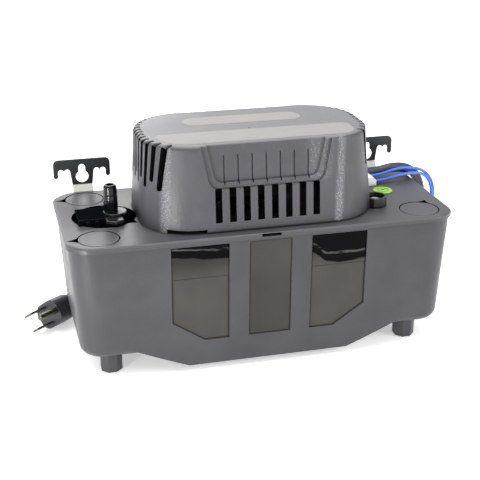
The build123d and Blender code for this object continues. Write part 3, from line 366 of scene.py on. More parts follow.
def make_soft_edge():
    """Rounds the shading at sharp edges and marks where they are."""
    tree, inputs, outputs = new_group(
        "soft_edge", [("Radius", "NodeSocketFloat", 0.0005)],
        [("Normal", "NodeSocketVector"), ("Edge", "NodeSocketFloat")])
    bevel = node(tree, "ShaderNodeBevel", {"Radius": inputs.outputs["Radius"]}, samples=6)
    flat = node(tree, "ShaderNodeNewGeometry")
    dot = node(tree, "ShaderNodeVectorMath", {0: bevel.outputs[0], 1: flat.outputs["Normal"]},
               operation="DOT_PRODUCT")
    put(tree, outputs.inputs["Normal"], bevel.outputs[0])
    put(tree, outputs.inputs["Edge"], Wire(tree, dot.outputs["Value"]).flip().step(0.015, 0.22))


def make_handling():
    """Faint rubs and dust: long soft streaks broken by fine noise."""
    tree, inputs, outputs = new_group(
        "handling", [("Point", "NodeSocketVector", None), ("Scale", "NodeSocketFloat", 60.0)],
        [("Rub", "NodeSocketFloat"), ("Dust", "NodeSocketFloat")])
    point = inputs.outputs["Point"]
    scale = Wire(tree, inputs.outputs["Scale"])
    streak = noise(tree, stretched(tree, point, (0.35, 1.0, 1.6)), scale, 5.0, 0.65)
    broken = noise(tree, point, scale * 9.0, 2.0, 0.6)
    put(tree, outputs.inputs["Rub"], streak.step(0.55, 0.75) * broken.step(0.35, 0.65))
    put(tree, outputs.inputs["Dust"], broken.step(0.45, 0.8) * streak.step(0.3, 0.6))


def make_brushed():
    """Fine parallel lines along X, as on rolled or brushed metal."""
    tree, inputs, outputs = new_group(
        "brushed", [("Point", "NodeSocketVector", None), ("Scale", "NodeSocketFloat", 900.0)],
        [("Line", "NodeSocketFloat"), ("Cloud", "NodeSocketFloat")])
    point = inputs.outputs["Point"]
    fine = noise(tree, stretched(tree, point, (0.02, 1.0, 1.0)), inputs.outputs["Scale"], 2.0, 0.6)
    put(tree, outputs.inputs["Line"], fine)
    put(tree, outputs.inputs["Cloud"], noise(tree, point, 48.0, 4.0, 0.6).step(0.3, 0.7))


def new_material(name):
    """A material with its tree, its Principled shader and the point it reads."""
    material = bpy.data.materials.new(name)
    material.use_nodes = True
    tree = material.node_tree
    shader = tree.nodes["Principled BSDF"]
    return material, tree, shader, object_point(tree)


def relief(tree, shader, height, distance, strength=1.0, normal=None):
    """Feeds a bump of this height, in metres, to the shader's normal."""
    bump = node(tree, "ShaderNodeBump", {"Strength": strength, "Distance": distance, "Height": height})
    if normal is not None:
        put(tree, bump.inputs["Normal"], normal)
    put(tree, shader.inputs["Normal"], bump.outputs[0])


def darker(value, share):
    """The same colour at a share of its brightness."""
    return tuple(v * share for v in value[:3]) + (1.0,)


def open_share(tree, reach, low=0.3, high=0.8):
    """How open a point is to the light: nothing deep in a hollow, one out in the open."""
    shade = node(tree, "ShaderNodeAmbientOcclusion", {"Distance": reach}, samples=4)
    return Wire(tree, shade.outputs["AO"]).step(low, high)


def moulded(name, tint, grain_scale=1800.0, grain=0.00006, roughness=0.45, edge=0.4, contrast=0.12,
            edge_radius=0.0006, hollow=0.006, edge_highlight=None):
    """A moulded plastic: grain, patchiness, rubs, a painted highlight along its edges and painted shade in its
    hollows.
    """
    material, tree, shader, point = new_material(name)
    texture = use_group(tree, "mould_grain", {"Point": point, "Grain Scale": grain_scale})
    rubs = use_group(tree, "handling", {"Point": point})
    edges = use_group(tree, "soft_edge", {"Radius": edge_radius})
    patch = Wire(tree, texture.outputs["Patch"])
    rub = Wire(tree, rubs.outputs["Rub"])
    base = mix(tree, patch, darker(tint, 1 - contrast), darker(tint, 1 + contrast))
    base = mix(tree, rub * 0.18, base, darker(tint, 1.7))
    # Painted highlight: the edges are lightened towards the colour given for them.
    base = mix(tree, Wire(tree, edges.outputs["Edge"]) * edge, base, edge_highlight or darker(tint, 2.1))
    # Painted shade: the tint darkens in hollows, within the given reach.
    base = mix(tree, open_share(tree, hollow), darker(tint, 0.12), base)
    put(tree, shader.inputs["Base Color"], base)
    put(tree, shader.inputs["Roughness"], patch * 0.1 + (rub * 0.12 + (roughness - 0.05)))
    relief(tree, shader, Wire(tree, texture.outputs["Height"]), grain, normal=edges.outputs["Normal"])
    return material, tree, shader, point, base


def inside_panels(tree, point):
    """How far a point is inside the polished panels of the front wall, less than nothing outside them."""
    x, y, z = axes(tree, point)
    across = (x - MIDDLE.x).size()
    tall = (z - PANEL_BOTTOM).least((z - PANEL_TOP) * -1.0)
    slope = (SIDE_PANEL_CUT_Z - PANEL_BOTTOM) / (SIDE_PANEL_OUTER - SIDE_PANEL_CUT_X)
    cut = z - PANEL_BOTTOM - (across - SIDE_PANEL_CUT_X) * slope
    side = (across - SIDE_PANEL_INNER).least((across - SIDE_PANEL_OUTER) * -1.0).least(cut)
    middle = (across - MIDDLE_PANEL_HALF) * -1.0
    inside = side.most(middle).least(tall).least((y - MIDDLE.y) * -1.0)
    return inside


def tank_material(finishes):
    """Satin grey, with smoked polished panels in the front wall that carry a painted reflection of a dark band near
    their top, and painted shade at their rims, left edges and crease.
    """
    material, tree, shader, point, base = moulded("tank_satin", finishes.tank, roughness=0.42, edge=0.7,
                                                 hollow=0.0015)
    x, y, z = axes(tree, point)
    inside = inside_panels(tree, point)
    panel = inside.step(-0.0001, 0.0001)
    # Painted shade: a thin rim round each panel, and a shadow down the left edge of each.
    rim = panel * inside.step(0.0009, 0.0002)
    from_middle = x - MIDDLE.x
    shadow = inside * 0.0
    for left_edge in (-SIDE_PANEL_OUTER, -MIDDLE_PANEL_HALF, SIDE_PANEL_INNER):
        shadow = shadow.most((from_middle - left_edge).size().step(0.0016, 0.0003))
    smoke = noise(tree, stretched(tree, point, (0.9, 1.0, 0.6)), 40.0, 3.0, 0.5)
    ragged = noise(tree, stretched(tree, point, (0.3, 1.0, 1.0)), 230.0, 3.0, 0.55)
    wander = noise(tree, point, 30.0, 2.0, 0.5)
    right = from_middle.step(SIDE_PANEL_INNER, SIDE_PANEL_INNER + 0.012)
    height = z + x * 0.05 + (wander - 0.5) * 0.008 + (ragged - 0.5) * 0.004 + right * 0.007
    outer = from_middle.size().step(SIDE_PANEL_INNER - 0.004, SIDE_PANEL_INNER - 0.002)
    # Painted reflection in the side panels: a dark band near their top, a lighter streak in it, and a darker haze
    # from the crease up to it.
    dark = height.step(PANEL_BAND_LOW - 0.0015, PANEL_BAND_LOW) * outer
    reflected_haze = z.step(PANEL_CREASE, PANEL_BAND_LOW + 0.002) * outer
    light = (height - PANEL_STREAK).size().step(0.0012, 0.0003) * ragged.step(0.35, 0.5)
    tinted = mix(tree, smoke.step(0.3, 0.7), darker(finishes.panel, 0.86), darker(finishes.panel, 1.16))
    # The middle panel is darker towards its bottom, and the side panels are lighter below their crease.
    middle_low = outer.flip() * z.step(PANEL_BAND_LOW, PANEL_CREASE - 0.01)
    tinted = mix(tree, middle_low * 0.4, tinted, darker(finishes.panel, 0.3))
    low = z.step(PANEL_CREASE + 0.0002, PANEL_CREASE - 0.0002) * outer
    tinted = mix(tree, low * 0.25, tinted, darker(finishes.panel, 1.6))
    tinted = mix(tree, reflected_haze * 0.55, tinted, darker(finishes.panel, 0.3))
    tinted = mix(tree, dark * 0.94, tinted, colour("08080a"))
    tinted = mix(tree, light * dark * 0.5, tinted, colour("5c5a5a"))
    # Painted shade along the side panels' crease.
    crease = (z - PANEL_CREASE - 0.0003).size().step(0.0006, 0.0002) * outer
    tinted = mix(tree, crease * 0.7, tinted, darker(finishes.panel, 0.15))
    tinted = mix(tree, rim * 0.15, tinted, darker(finishes.panel, 0.3))
    tinted = mix(tree, shadow * 0.9, tinted, darker(finishes.panel, 0.05))
    put(tree, shader.inputs["Base Color"], mix(tree, panel, base, tinted))
    rough = Wire(tree, shader.inputs["Roughness"].links[0].from_socket)
    put(tree, shader.inputs["Roughness"], rough * panel.flip() + panel * 0.14)
    put(tree, shader.inputs["Metallic"], (dark * 0.95).most(reflected_haze * 0.5) * panel)
    shader.inputs["Specular IOR Level"].default_value = 0.27
    bump = shader.inputs["Normal"].links[0].from_node
    grain = Wire(tree, bump.inputs["Height"].links[0].from_socket)
    put(tree, bump.inputs["Height"], grain * panel.flip() + panel * smoke * 1.5 - rim * 3.0)
    return material


def cover_depth(tree, point):
    """How far a point lies outside the motor cover's skin, less than nothing inside it."""
    x, y, z = axes(tree, point)
    up = (z - DECK_TOP) * (1 / (COVER_HIGH.z - DECK_TOP))
    past = [(along - middle).size() + up * COVER_DRAFT - (half - COVER_CORNER)
            for along, middle, half in zip((x, y), MIDDLE, COVER_HALF)]
    out = [way.most(0.0) for way in past]
    around = (out[0] * out[0] + out[1] * out[1]).math("SQRT")
    return around + past[0].most(past[1]).least(0.0) - COVER_CORNER


def cover_material(finishes):
    """Coarse-grained grey with a paler top of painted light, bands of painted sheen and glints along its corners and
    grip, painted shade in the grip's grooves and a painted shadow along its foot.
    """
    material, tree, shader, point, base = moulded(
        "cover_grain", finishes.cover, grain_scale=1150.0, grain=0.00016, roughness=0.4,
        edge=0.5, edge_radius=0.0008, hollow=0.02)
    x, y, z = axes(tree, point)
    # Painted light: the top is given a paler colour.
    top = z.step(COVER_HIGH.z - 0.0012, COVER_HIGH.z - 0.0001)
    texture = use_group(tree, "mould_grain", {"Point": point, "Grain Scale": 2500.0})
    from_middle = x - MIDDLE.x
    leaning = (z - DECK_TOP) * FLECKS_LEAN
    # Painted sheen and glints: lighter bands down the corners and over the grip, with white flecks in them.
    bands = [(from_middle - leaning - place).size().step(width, width * 0.2)
             for place, width in ((FLECKS_LEFT, 0.0045), (FLECKS_RIGHT, 0.0045), (FLECKS_GRIP, 0.012))]
    low, high = z.step(FLECKS_GRIP_LOW + 0.004, FLECKS_GRIP_LOW), z.step(FLECKS_GRIP_LOW, FLECKS_GRIP_LOW + 0.004)
    shown = (bands[0].most(bands[1]) + bands[2] * high * 0.6) * (low * 0.2 + 0.8)
    front = (y - MIDDLE.y).step(-0.02, -0.026)
    fleck = Wire(tree, texture.outputs["Fleck"]) * shown.least(1.0) * front * top.flip()
    base = mix(tree, top, base, finishes.cover_top_painted_light)
    base = mix(tree, shown.least(1.0) * front * 0.22, base, colour("98989c"))
    base = mix(tree, fleck * 0.85, base, colour("d0d0d4"))
    # Painted shade: a dark line in each of the grip's grooves.
    ridge = ((from_middle * (1 / GROOVE_PITCH) + 0.5).math("FRACT") - 0.5) * GROOVE_PITCH
    grooved = (from_middle.size().step(GROOVE_PITCH * 3.4, GROOVE_PITCH * 3.2)
               * z.step(FLECKS_GRIP_LOW + 0.002, FLECKS_GRIP_LOW + 0.004)
               * z.step(COVER_HIGH.z - 0.0075, COVER_HIGH.z - 0.0085) * front)
    base = mix(tree, (ridge + 0.0001).size().step(0.0007, 0.0003) * grooved * 0.75, base, colour("161618"))
    # Painted shadow: a black line along the front of the cover's foot.
    foot = z.step(DECK_TOP + 0.0018, DECK_TOP + 0.0009) * front * from_middle.step(-0.047, -0.043)
    base = mix(tree, foot * 0.9, base, colour("08080a"))
    put(tree, shader.inputs["Base Color"], base)
    shader.inputs["Specular IOR Level"].default_value = 0.38
    return material


def hanger_material(finishes):
    """Black paint on the plate, bare zinc below its bend, where it is fixed to the tank."""
    material, tree, shader, point, base = moulded(
        "hanger_paint", finishes.hanger, grain_scale=2600.0, grain=0.00003, roughness=0.36, edge=0.3,
        edge_radius=0.0003)
    x, y, z = axes(tree, point)
    zinc = z.step(DECK_TOP + 0.0046, DECK_TOP + 0.0042)
    rolled = use_group(tree, "brushed", {"Point": point})
    cloud = Wire(tree, rolled.outputs["Cloud"])
    bare = mix(tree, cloud, darker(finishes.zinc, 0.85), finishes.zinc)
    # Painted shade: the bare zinc is darker below the deck's top, beside the deck's edge.
    bare = mix(tree, (z - DECK_TOP).step(-0.0012, -0.0022), bare, darker(finishes.zinc, 0.35))
    put(tree, shader.inputs["Base Color"], mix(tree, zinc, base, bare))
    put(tree, shader.inputs["Metallic"], zinc * 0.55)
    rough = Wire(tree, shader.inputs["Roughness"].links[0].from_socket)
    put(tree, shader.inputs["Roughness"], rough + zinc * cloud * 0.1)
    return material


def plate_material(finishes):
    """Satin foil with fine lines and a faint change of tint."""
    material, tree, shader, point = new_material("bare_plate")
    rolled = use_group(tree, "brushed", {"Point": point, "Scale": 2400.0})
    cloud = Wire(tree, rolled.outputs["Cloud"])
    base = mix(tree, cloud, darker(finishes.plate, 0.93), finishes.plate)
    warm = noise(tree, point, 21.0, 2.0, 0.5).step(0.45, 0.75)
    base = mix(tree, warm * 0.15, base, colour("948f88"))
    put(tree, shader.inputs["Base Color"], base)
    put(tree, shader.inputs["Roughness"], Wire(tree, rolled.outputs["Line"]) * 0.16 + 0.5)
    relief(tree, shader, Wire(tree, rolled.outputs["Line"]), 0.00002)
    return material


def metal(name, tint, roughness=0.3, scale=900.0, depth=0.00002, rust=None, hollow=0.002):
    """A metal with fine lines, clouding, brighter edges and painted shade in its hollows."""
    material, tree, shader, point = new_material(name)
    rolled = use_group(tree, "brushed", {"Point": point, "Scale": scale})
    edges = use_group(tree, "soft_edge", {"Radius": 0.0003})
    cloud = Wire(tree, rolled.outputs["Cloud"])
    base = mix(tree, cloud, darker(tint, 0.78), tint)
    if rust is not None:
        spots = noise(tree, point, 240.0, 5.0, 0.7).step(0.6, 0.72)
        base = mix(tree, spots * 0.5, base, rust)
    base = mix(tree, Wire(tree, edges.outputs["Edge"]) * 0.5, base, darker(tint, 1.3))
    # Painted shade: the tint darkens in hollows, within the given reach.
    base = mix(tree, open_share(tree, hollow), darker(tint, 0.06), base)
    put(tree, shader.inputs["Base Color"], base)
    shader.inputs["Metallic"].default_value = 1.0
    put(tree, shader.inputs["Roughness"], Wire(tree, rolled.outputs["Line"]) * 0.2 + (roughness - 0.1))
    relief(tree, shader, Wire(tree, rolled.outputs["Line"]), depth, normal=edges.outputs["Normal"])
    return material


def lamination_material():
    """Stacked sheet steel: thin dark joints between pale cut edges, and painted shade in its hollows."""
    material, tree, shader, point = new_material("stacked_steel")
    x, y, z = axes(tree, point)
    sheets = (z * (1 / 0.0005)).math("FRACT")
    joint = (sheets - 0.5).size().step(0.34, 0.48)
    cloud = noise(tree, point, 160.0, 5.0, 0.65)
    base = mix(tree, cloud.step(0.35, 0.65), colour("343436"), colour("4a4947"))
    base = mix(tree, joint, base, colour("161616"))
    base = mix(tree, noise(tree, point, 380.0, 4.0, 0.7).step(0.62, 0.74) * 0.6, base, colour("7a4a2a"))
    # Painted shade: near black in hollows.
    base = mix(tree, open_share(tree, 0.05), colour("050505"), base)
    put(tree, shader.inputs["Base Color"], base)
    put(tree, shader.inputs["Metallic"], joint.flip() * 0.85)
    put(tree, shader.inputs["Roughness"], cloud * 0.25 + 0.28)
    relief(tree, shader, joint.flip(), 0.00008)
    return material


def cord_material(name, tint, roughness, jacket=0.00006, lengthwise=True):
    """A flexible jacket: fine lengthwise drawing lines and a matt bloom."""
    material, tree, shader, point = new_material(name)
    if lengthwise:
        along = node(tree, "ShaderNodeUVMap", uv_map="along").outputs[0]
    else:
        along = point
    lines = noise(tree, stretched(tree, along, (0.5, 46.0, 1.0)), 1.0, 2.0, 0.6)
    bloom = use_group(tree, "handling", {"Point": point, "Scale": 140.0})
    texture = use_group(tree, "mould_grain", {"Point": point, "Grain Scale": 2600.0})
    base = mix(tree, Wire(tree, texture.outputs["Patch"]), darker(tint, 0.85), darker(tint, 1.15))
    base = mix(tree, Wire(tree, bloom.outputs["Dust"]) * 0.18, base, darker(tint, 1.9))
    put(tree, shader.inputs["Base Color"], base)
    put(tree, shader.inputs["Roughness"], lines * 0.14 + (roughness - 0.07))
    height = lines * 0.7 + Wire(tree, texture.outputs["Height"]) * 0.5
    relief(tree, shader, height, jacket)
    return material


def foam_material():
    """Closed-cell foam: round cells with dark pores."""
    material, tree, shader, point = new_material("float_cells")
    cells = node(tree, "ShaderNodeTexVoronoi", {"Vector": point, "Scale": 900.0})
    distance = Wire(tree, cells.outputs["Distance"])
    pore = distance.step(0.16, 0.05)
    cloud = noise(tree, point, 60.0, 3.0, 0.5)
    base = mix(tree, cloud.step(0.3, 0.7), colour("d9d6cc"), colour("ece9e0"))
    put(tree, shader.inputs["Base Color"], mix(tree, pore * 0.6, base, colour("8f8b80")))
    put(tree, shader.inputs["Roughness"], cloud * 0.15 + 0.72)
    relief(tree, shader, distance, 0.00035)
    return material


def vinyl_material():
    """Clear flexible tube, slightly yellow."""
    material, tree, shader, point = new_material("clear_vinyl")
    cloud = noise(tree, point, 80.0, 3.0, 0.5)
    put(tree, shader.inputs["Base Color"], mix(tree, cloud, colour("dfe0d2"), colour("eef0e6")))
    put(tree, shader.inputs["Roughness"], cloud * 0.1 + 0.16)
    shader.inputs["Transmission Weight"].default_value = 0.55
    shader.inputs["IOR"].default_value = 1.5
    relief(tree, shader, noise(tree, point, 400.0, 2.0), 0.00004)
    return material


def paint(material, *names):
    """Gives a CAD node its finish, in the slot that it already has."""
    for name in names:
        piece = NODES[name]
        if not piece.material_slots:
            piece.data.materials.append(material)
        for slot in piece.material_slots:
            slot.material = material


# Meshes worked out as arrays
def sheet_faces(rows, columns, close_columns=True):
    """The four-cornered faces of a grid whose columns meet round the back where close_columns is true."""
    wide = columns if close_columns else columns - 1
    row, column = np.meshgrid(np.arange(rows - 1), np.arange(wide), indexing="ij")
    following = (column + 1) % columns
    corners = [row * columns + column, row * columns + following,
               (row + 1) * columns + following, (row + 1) * columns + column]
    return np.stack([c.ravel() for c in corners], axis=1)


def add_piece(name, points, faces, material, body=None, smooth=True):
    """A mesh piece from arrays of points and of faces, at the origin, riding on a body if one is named."""
    mesh = bpy.data.meshes.new(name)
    mesh.from_pydata(points.tolist(), [], faces if isinstance(faces, list) else faces.tolist())
    mesh.polygons.foreach_set("use_smooth", np.full(len(mesh.polygons), smooth))
    mesh.materials.append(material)
    mesh.validate()
    piece = bpy.data.objects.new(name, mesh)
    bpy.context.scene.collection.objects.link(piece)
    if body is not None:
        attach(piece, body)
    return piece


def eased(value, low, high):
    """Rises smoothly from 0 to 1 while the value goes from low to high."""
    share = np.clip((value - low) / (high - low), 0.0, 1.0)
    return share * share * (3 - 2 * share)


def tightened(points, half, radius, tighter, held):
    """Moves a rounded block's corners out to a tighter radius, and holds what is well inside them."""
    past = np.abs(points[:, :2]) - (half - radius)
    reach = np.linalg.norm(past, axis=1)
    way = np.maximum(past, 1e-9) / np.maximum(reach, 1e-9)[:, None]
    step = radius - tighter
    along = step * way.sum(axis=1)
    on_arc = along + np.sqrt(np.maximum(along ** 2 - 2 * step ** 2 + tighter ** 2, 0.0))
    on_wall = radius / way.max(axis=1)
    out = np.where(way.min(axis=1) * radius < step * way.max(axis=1), on_wall, on_arc)
    share = np.where(past.min(axis=1) > 0, eased(reach / radius, held, held + 0.1), 0.0)
    return np.sign(points[:, :2]) * way * ((out - radius) * share)[:, None]


def true_tank(points):
    """Where the tank's points go so that its ends are as steep and its corners as tight as the real ones."""
    down = np.clip((TANK_HIGH.z - points[:, 2]) / (TANK_HIGH.z - TANK_FLOOR), 0.0, 1.0)
    half = np.array(TANK_HALF) - down[:, None] * TANK_DRAFT
    move = tightened(points, half, TANK_CORNER, TRUE_CORNER - 0.0005, 0.4)
    wider = TRUE_TANK_LENGTH - TRUE_TANK_DRAFT * down - half[:, 0]
    move[:, 0] += np.sign(points[:, 0]) * wider * eased(np.abs(points[:, 0]), 0.098, 0.118)
    from_foot = np.linalg.norm(np.abs(points[:, :2]) - FOOT_PLACE, axis=1)
    foot = (points[:, 2] < TANK_FLOOR + 0.00001) * eased(from_foot, 0.012, 0.0085)
    low, high, back = HANGER_PAD
    pad = (np.abs(points[:, 0]) > low) & (np.abs(points[:, 0]) < high) & (points[:, 1] > back)
    return move * ((1 - foot) * (1 - pad))[:, None]


def true_deck(points):
    """Where the deck's points go so that its corners are as tight as the real ones."""
    move = tightened(points, np.array(DECK_HALF), DECK_CORNER, TRUE_CORNER, 0.87)
    move[:, 0] += np.sign(points[:, 0]) * DECK_STRETCH * eased(np.abs(points[:, 0]), 0.1335, 0.1375)
    return move


def true_cover(points):
    """Where the cover's points go so that its ends stand as upright as the real ones, with the cup left alone."""
    up = (points[:, 2] - DECK_TOP) / (COVER_HIGH.z - DECK_TOP)
    cup = np.array(((SCREW_LOW + SCREW_HIGH) / 2 - MIDDLE).xy)
    from_cup = np.linalg.norm(points[:, :2] - cup, axis=1)
    share = eased(np.abs(points[:, 0]), 0.045, 0.08) * eased(from_cup, *CUP_REACH)
    move = np.zeros((len(points), 2))
    move[:, 0] = np.sign(points[:, 0]) * COVER_END_LEAN * (2 * up - 1) * share
    return move


def deep_in_cover(points):
    """Which points lie inside the cover's wall, apart from the grips; their faces get painted shade."""
    up = ((points[:, 2] - DECK_TOP) / (COVER_HIGH.z - DECK_TOP))[:, None]
    past = np.abs(points[:, :2]) + up * COVER_DRAFT - (np.array(COVER_HALF) - COVER_CORNER)
    around = np.linalg.norm(np.maximum(past, 0.0), axis=1)
    depth = around + np.minimum(past.max(axis=1), 0.0) - COVER_CORNER
    aside = (points[:, 2] < GRIP_LOW) | (np.abs(points[:, 0]) > GRIP_HALF)
    return (depth < -COVER_SKIN) & aside & (points[:, 2] < COVER_HIGH.z - COVER_RIM)


def deep_in_deck(points):
    """Which points lie in the valve's pocket or in a pry notch; their faces get painted shade."""
    below = DECK_TOP - points[:, 2]
    past = np.maximum(np.abs(points[:, :2]) - (np.array(DECK_HALF) - DECK_CORNER), 0.0)
    within = np.linalg.norm(past, axis=1) < DECK_CORNER - DECK_EDGE
    return (below > DECK_SUNK[0]) & (below < DECK_SUNK[1]) & within


def painted_shade_material(name, tint):
    """Painted shade for what lies deep in a moulding: dark, dull, and darker the deeper it is."""
    material, tree, shader, point, base = moulded(name, tint, edge=0.0, roughness=0.8, hollow=0.012)
    shader.inputs["Specular IOR Level"].default_value = 0.0
    return material


def reshaped(name, body, moves, deep, hollow):
    """A copy of a CAD node with its outline corrected, and painted shade on its deep faces, which stands for the
    node.
    """
    mesh = NODES[name].data.copy()
    points = np.empty(len(mesh.vertices) * 3)
    mesh.vertices.foreach_get("co", points)
    if deep is not None:
        centres = np.empty(len(mesh.polygons) * 3)
        mesh.polygons.foreach_get("center", centres)
        chosen = deep(centres.reshape(-1, 3) - np.array(MIDDLE))
        mesh.materials.append(hollow)
        mesh.polygons.foreach_set("material_index", chosen.astype(np.int32))
    points = points.reshape(-1, 3)
    points[:, :2] += moves(points - np.array(MIDDLE))
    mesh.vertices.foreach_set("co", points.ravel())
    mesh.update()
    piece = bpy.data.objects.new(f"{name}_outline", mesh)
    bpy.context.scene.collection.objects.link(piece)
    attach(piece, body)
    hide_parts(name)


def smooth_line(points):
    """Evenly readable points along the NURBS spline whose control points these are."""
    curve = bpy.data.curves.new("route", "CURVE")
    curve.dimensions = "3D"
    curve.resolution_u = 16
    spline = curve.splines.new("NURBS")
    spline.points.add(len(points) - 1)
    flat = np.ones((len(points), 4))
    flat[:, :3] = points
    spline.points.foreach_set("co", flat.ravel())
    spline.order_u = 3
    spline.use_endpoint_u = True
    holder = bpy.data.objects.new("route", curve)
    mesh = bpy.data.meshes.new_from_object(holder)
    line = np.empty(len(mesh.vertices) * 3)
    mesh.vertices.foreach_get("co", line)
    bpy.data.objects.remove(holder)
    bpy.data.meshes.remove(mesh)
    bpy.data.curves.remove(curve)
    return line.reshape(-1, 3)


def even(line, spacing):
    """The line read again at an even spacing, with the distance of each point from its start."""
    steps = np.linalg.norm(np.diff(line, axis=0), axis=1)
    reached = np.concatenate([[0.0], np.cumsum(steps)])
    count = max(2, int(round(reached[-1] / spacing)) + 1)
    wanted = np.linspace(0.0, reached[-1], count)
    return np.stack([np.interp(wanted, reached, line[:, i]) for i in range(3)], axis=1), wanted


def carried_frames(line):
    """Two directions square to the line at each point, carried along it without twist."""
    tangent = np.gradient(line, axis=0)
    tangent /= np.linalg.norm(tangent, axis=1)[:, None]
    side = np.empty_like(tangent)
    first = np.cross(tangent[0], (0.0, 0.0, 1.0))
    side[0] = first / np.linalg.norm(first)
    for i in range(1, len(tangent)):
        carried = side[i - 1] - tangent[i] * (side[i - 1] @ tangent[i])
        side[i] = carried / np.linalg.norm(carried)
    return side, np.cross(tangent, side)


def tube_piece(name, line, radius, sides, material):
    """A circle carried along a line: point + radius (cos a side + sin a up), with a closed cap at each end."""
    side, up = carried_frames(line)
    angle = np.arange(sides) * 2 * pi / sides
    ring = np.cos(angle)[None, :, None] * side[:, None] + np.sin(angle)[None, :, None] * up[:, None]
    points = (line[:, None] + radius * ring).reshape(-1, 3)
    rows = len(line)
    faces = sheet_faces(rows, sides).tolist()
    faces += [list(range(sides - 1, -1, -1)), list(range((rows - 1) * sides, rows * sides))]
    piece = add_piece(name, points, [f[::-1] for f in faces], material)
    steps = np.linalg.norm(np.diff(line, axis=0), axis=1)
    reached = np.concatenate([[0.0], np.cumsum(steps)]) / (2 * radius)
    layer = piece.data.uv_layers.new(name="along")
    corner = np.empty(len(piece.data.loops), int)
    piece.data.loops.foreach_get("vertex_index", corner)
    around = (corner % sides) / sides
    layer.data.foreach_set("uv", np.stack([reached[corner // sides], around], axis=1).ravel())
    return piece


def placed(points):
    """A route drawn about the deck's middle, moved to its place."""
    return np.array(points) + np.array(MIDDLE)


def coil_points(cords):
    """Control points of the put-away turns: in towards the middle on the floor, up, and out again on top."""
    pitch = cords.cord_diameter
    middle = ((COIL_HIGH.x - COIL_LOW.x) / 2 + (COIL_HIGH.x - COIL_LOW.x) / 2 - 3 * pitch) / 2
    centre = (COIL_LOW + COIL_HIGH) / 2
    last = float(cords.turns)
    turn = np.linspace(0.0, last, cords.turns * COIL_TURN_POINTS + 1)
    half = (last - 1) / 2
    radius = np.interp(turn, [0, half, half + 1, last],
                       [middle + pitch, middle - pitch, middle - pitch, middle + pitch])
    rising = np.clip(turn - half, 0.0, 1.0)
    radius -= COIL_INNER_BULGE * pitch * np.sin(pi * rising)
    height = pitch * (0.5 + rising)
    angle = -pi / 2 - 2 * pi * turn
    radius /= cos(pi / COIL_TURN_POINTS)
    return np.stack([centre.x + radius * np.cos(angle), centre.y + radius * np.sin(angle), height], axis=1)


def free_cord(name, route, diameter, cords, material, nodes):
    """A cord along a smooth line, which stands for the nodes that it hides."""
    line, reached = even(smooth_line(route), cords.spacing)
    piece = tube_piece(name, line, diameter / 2, cords.sides, material)
    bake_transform(piece)
    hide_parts(*nodes)
    return piece


def rounded_rectangle(half, corners, steps=10):
    """Points round a rectangle with an arc at each corner, from front right by back right to front left."""
    arcs = []
    for quarter, radius in enumerate(corners):
        right = 1 if quarter < 2 else -1
        back = 1 if quarter in (1, 2) else -1
        angle = (quarter - 1 + np.linspace(0.0, 1.0, steps)) * pi / 2
        arcs.append(np.stack([right * (half[0] - radius) + radius * np.cos(angle),
                              back * (half[1] - radius) + radius * np.sin(angle)], axis=1))
    return np.concatenate(arcs)


def thin_plate(name, outline, place, low, thickness, material, body):
    """A closed plate: the outline at its foot, drawn in over a round edge, then in rings to its middle."""
    reach = np.abs(outline).min(axis=0).max() + np.abs(outline).max(axis=0).min()
    edge = np.linspace(0.0, pi / 2, 5)
    inset = np.concatenate([[0.0], thickness * (1 - np.cos(edge)), [reach * 0.3, reach * 0.6]])
    height = np.concatenate([[0.0], thickness * np.sin(edge), [thickness, thickness]])
    size = np.linalg.norm(outline, axis=1).max()
    share = 1 - inset / size
    rings = outline[None] * share[:, None, None]
    z = np.broadcast_to(low + height[:, None, None], rings.shape[:2] + (1,))
    points = np.concatenate([rings, z], axis=2).reshape(-1, 3)
    points[:, 0] += place[0] + MIDDLE.x
    points[:, 1] += place[1] + MIDDLE.y
    count = len(outline)
    faces = sheet_faces(len(inset), count).tolist()
    faces.append(list(range((len(inset) - 1) * count, len(inset) * count)))
    faces.append(list(range(count - 1, -1, -1)))
    return add_piece(name, points, faces, material, body)


def winding_points(winding):
    """A ridged section carried round the stator's leg: leg outline pushed out by the section's build."""
    centre = (WINDING_LOW + WINDING_HIGH) / 2
    half = (WINDING_HIGH - WINDING_LOW) / 2
    build = (LEG_LOW.z - WINDING_LOW.z)
    samples = 6
    ridges = int(round(2 * half.y / winding.wire))
    across = np.linspace(-1.0, 1.0, ridges * samples + 1)
    wave = winding.ridge * np.abs(np.sin(pi * ridges * (across + 1) / 2))
    crown = 0.0006 * (1 - across ** 8)
    outer = np.stack([build - 0.0009 - winding.ridge + wave + crown, across * (half.y - 0.0003)], axis=1)
    inner = np.array([[0.0004, half.y - 0.0003], [0.0004, -half.y + 0.0003]])
    section = np.concatenate([outer, inner])
    leg = rounded_rectangle((half.x - build, half.z - build), (0.0008,) * 4, 12)
    forward = np.roll(leg, -1, axis=0) - np.roll(leg, 1, axis=0)
    outward = np.stack([forward[:, 1], -forward[:, 0]], axis=1)
    outward /= np.linalg.norm(outward, axis=1)[:, None]
    ring = leg[:, None] + outward[:, None] * section[None, :, :1]
    depth = np.broadcast_to(section[None, :, 1], ring.shape[:2])
    points = np.stack([centre.x + ring[..., 0], centre.y + depth, centre.z + ring[..., 1]], axis=2)
    return points.reshape(-1, 3), len(leg), len(section)


def winding_piece(winding, material):
    """The copper coil, with every visible turn of its top layer."""
    points, rows, columns = winding_points(winding)
    faces = sheet_faces(rows + 1, columns) % len(points)
    piece = add_piece("winding_turns", points, faces, material, "pump_head")
    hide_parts("stator_winding")
    return piece


# Operators
class PieceOperator:
    """What the operators that follow share: the sizes and colours that the user can change."""
    bl_options = {"REGISTER", "UNDO"}

    def finishes(self):
        return bpy.context.scene.pump_finishes

    def cords(self):
        return bpy.context.scene.pump_cords


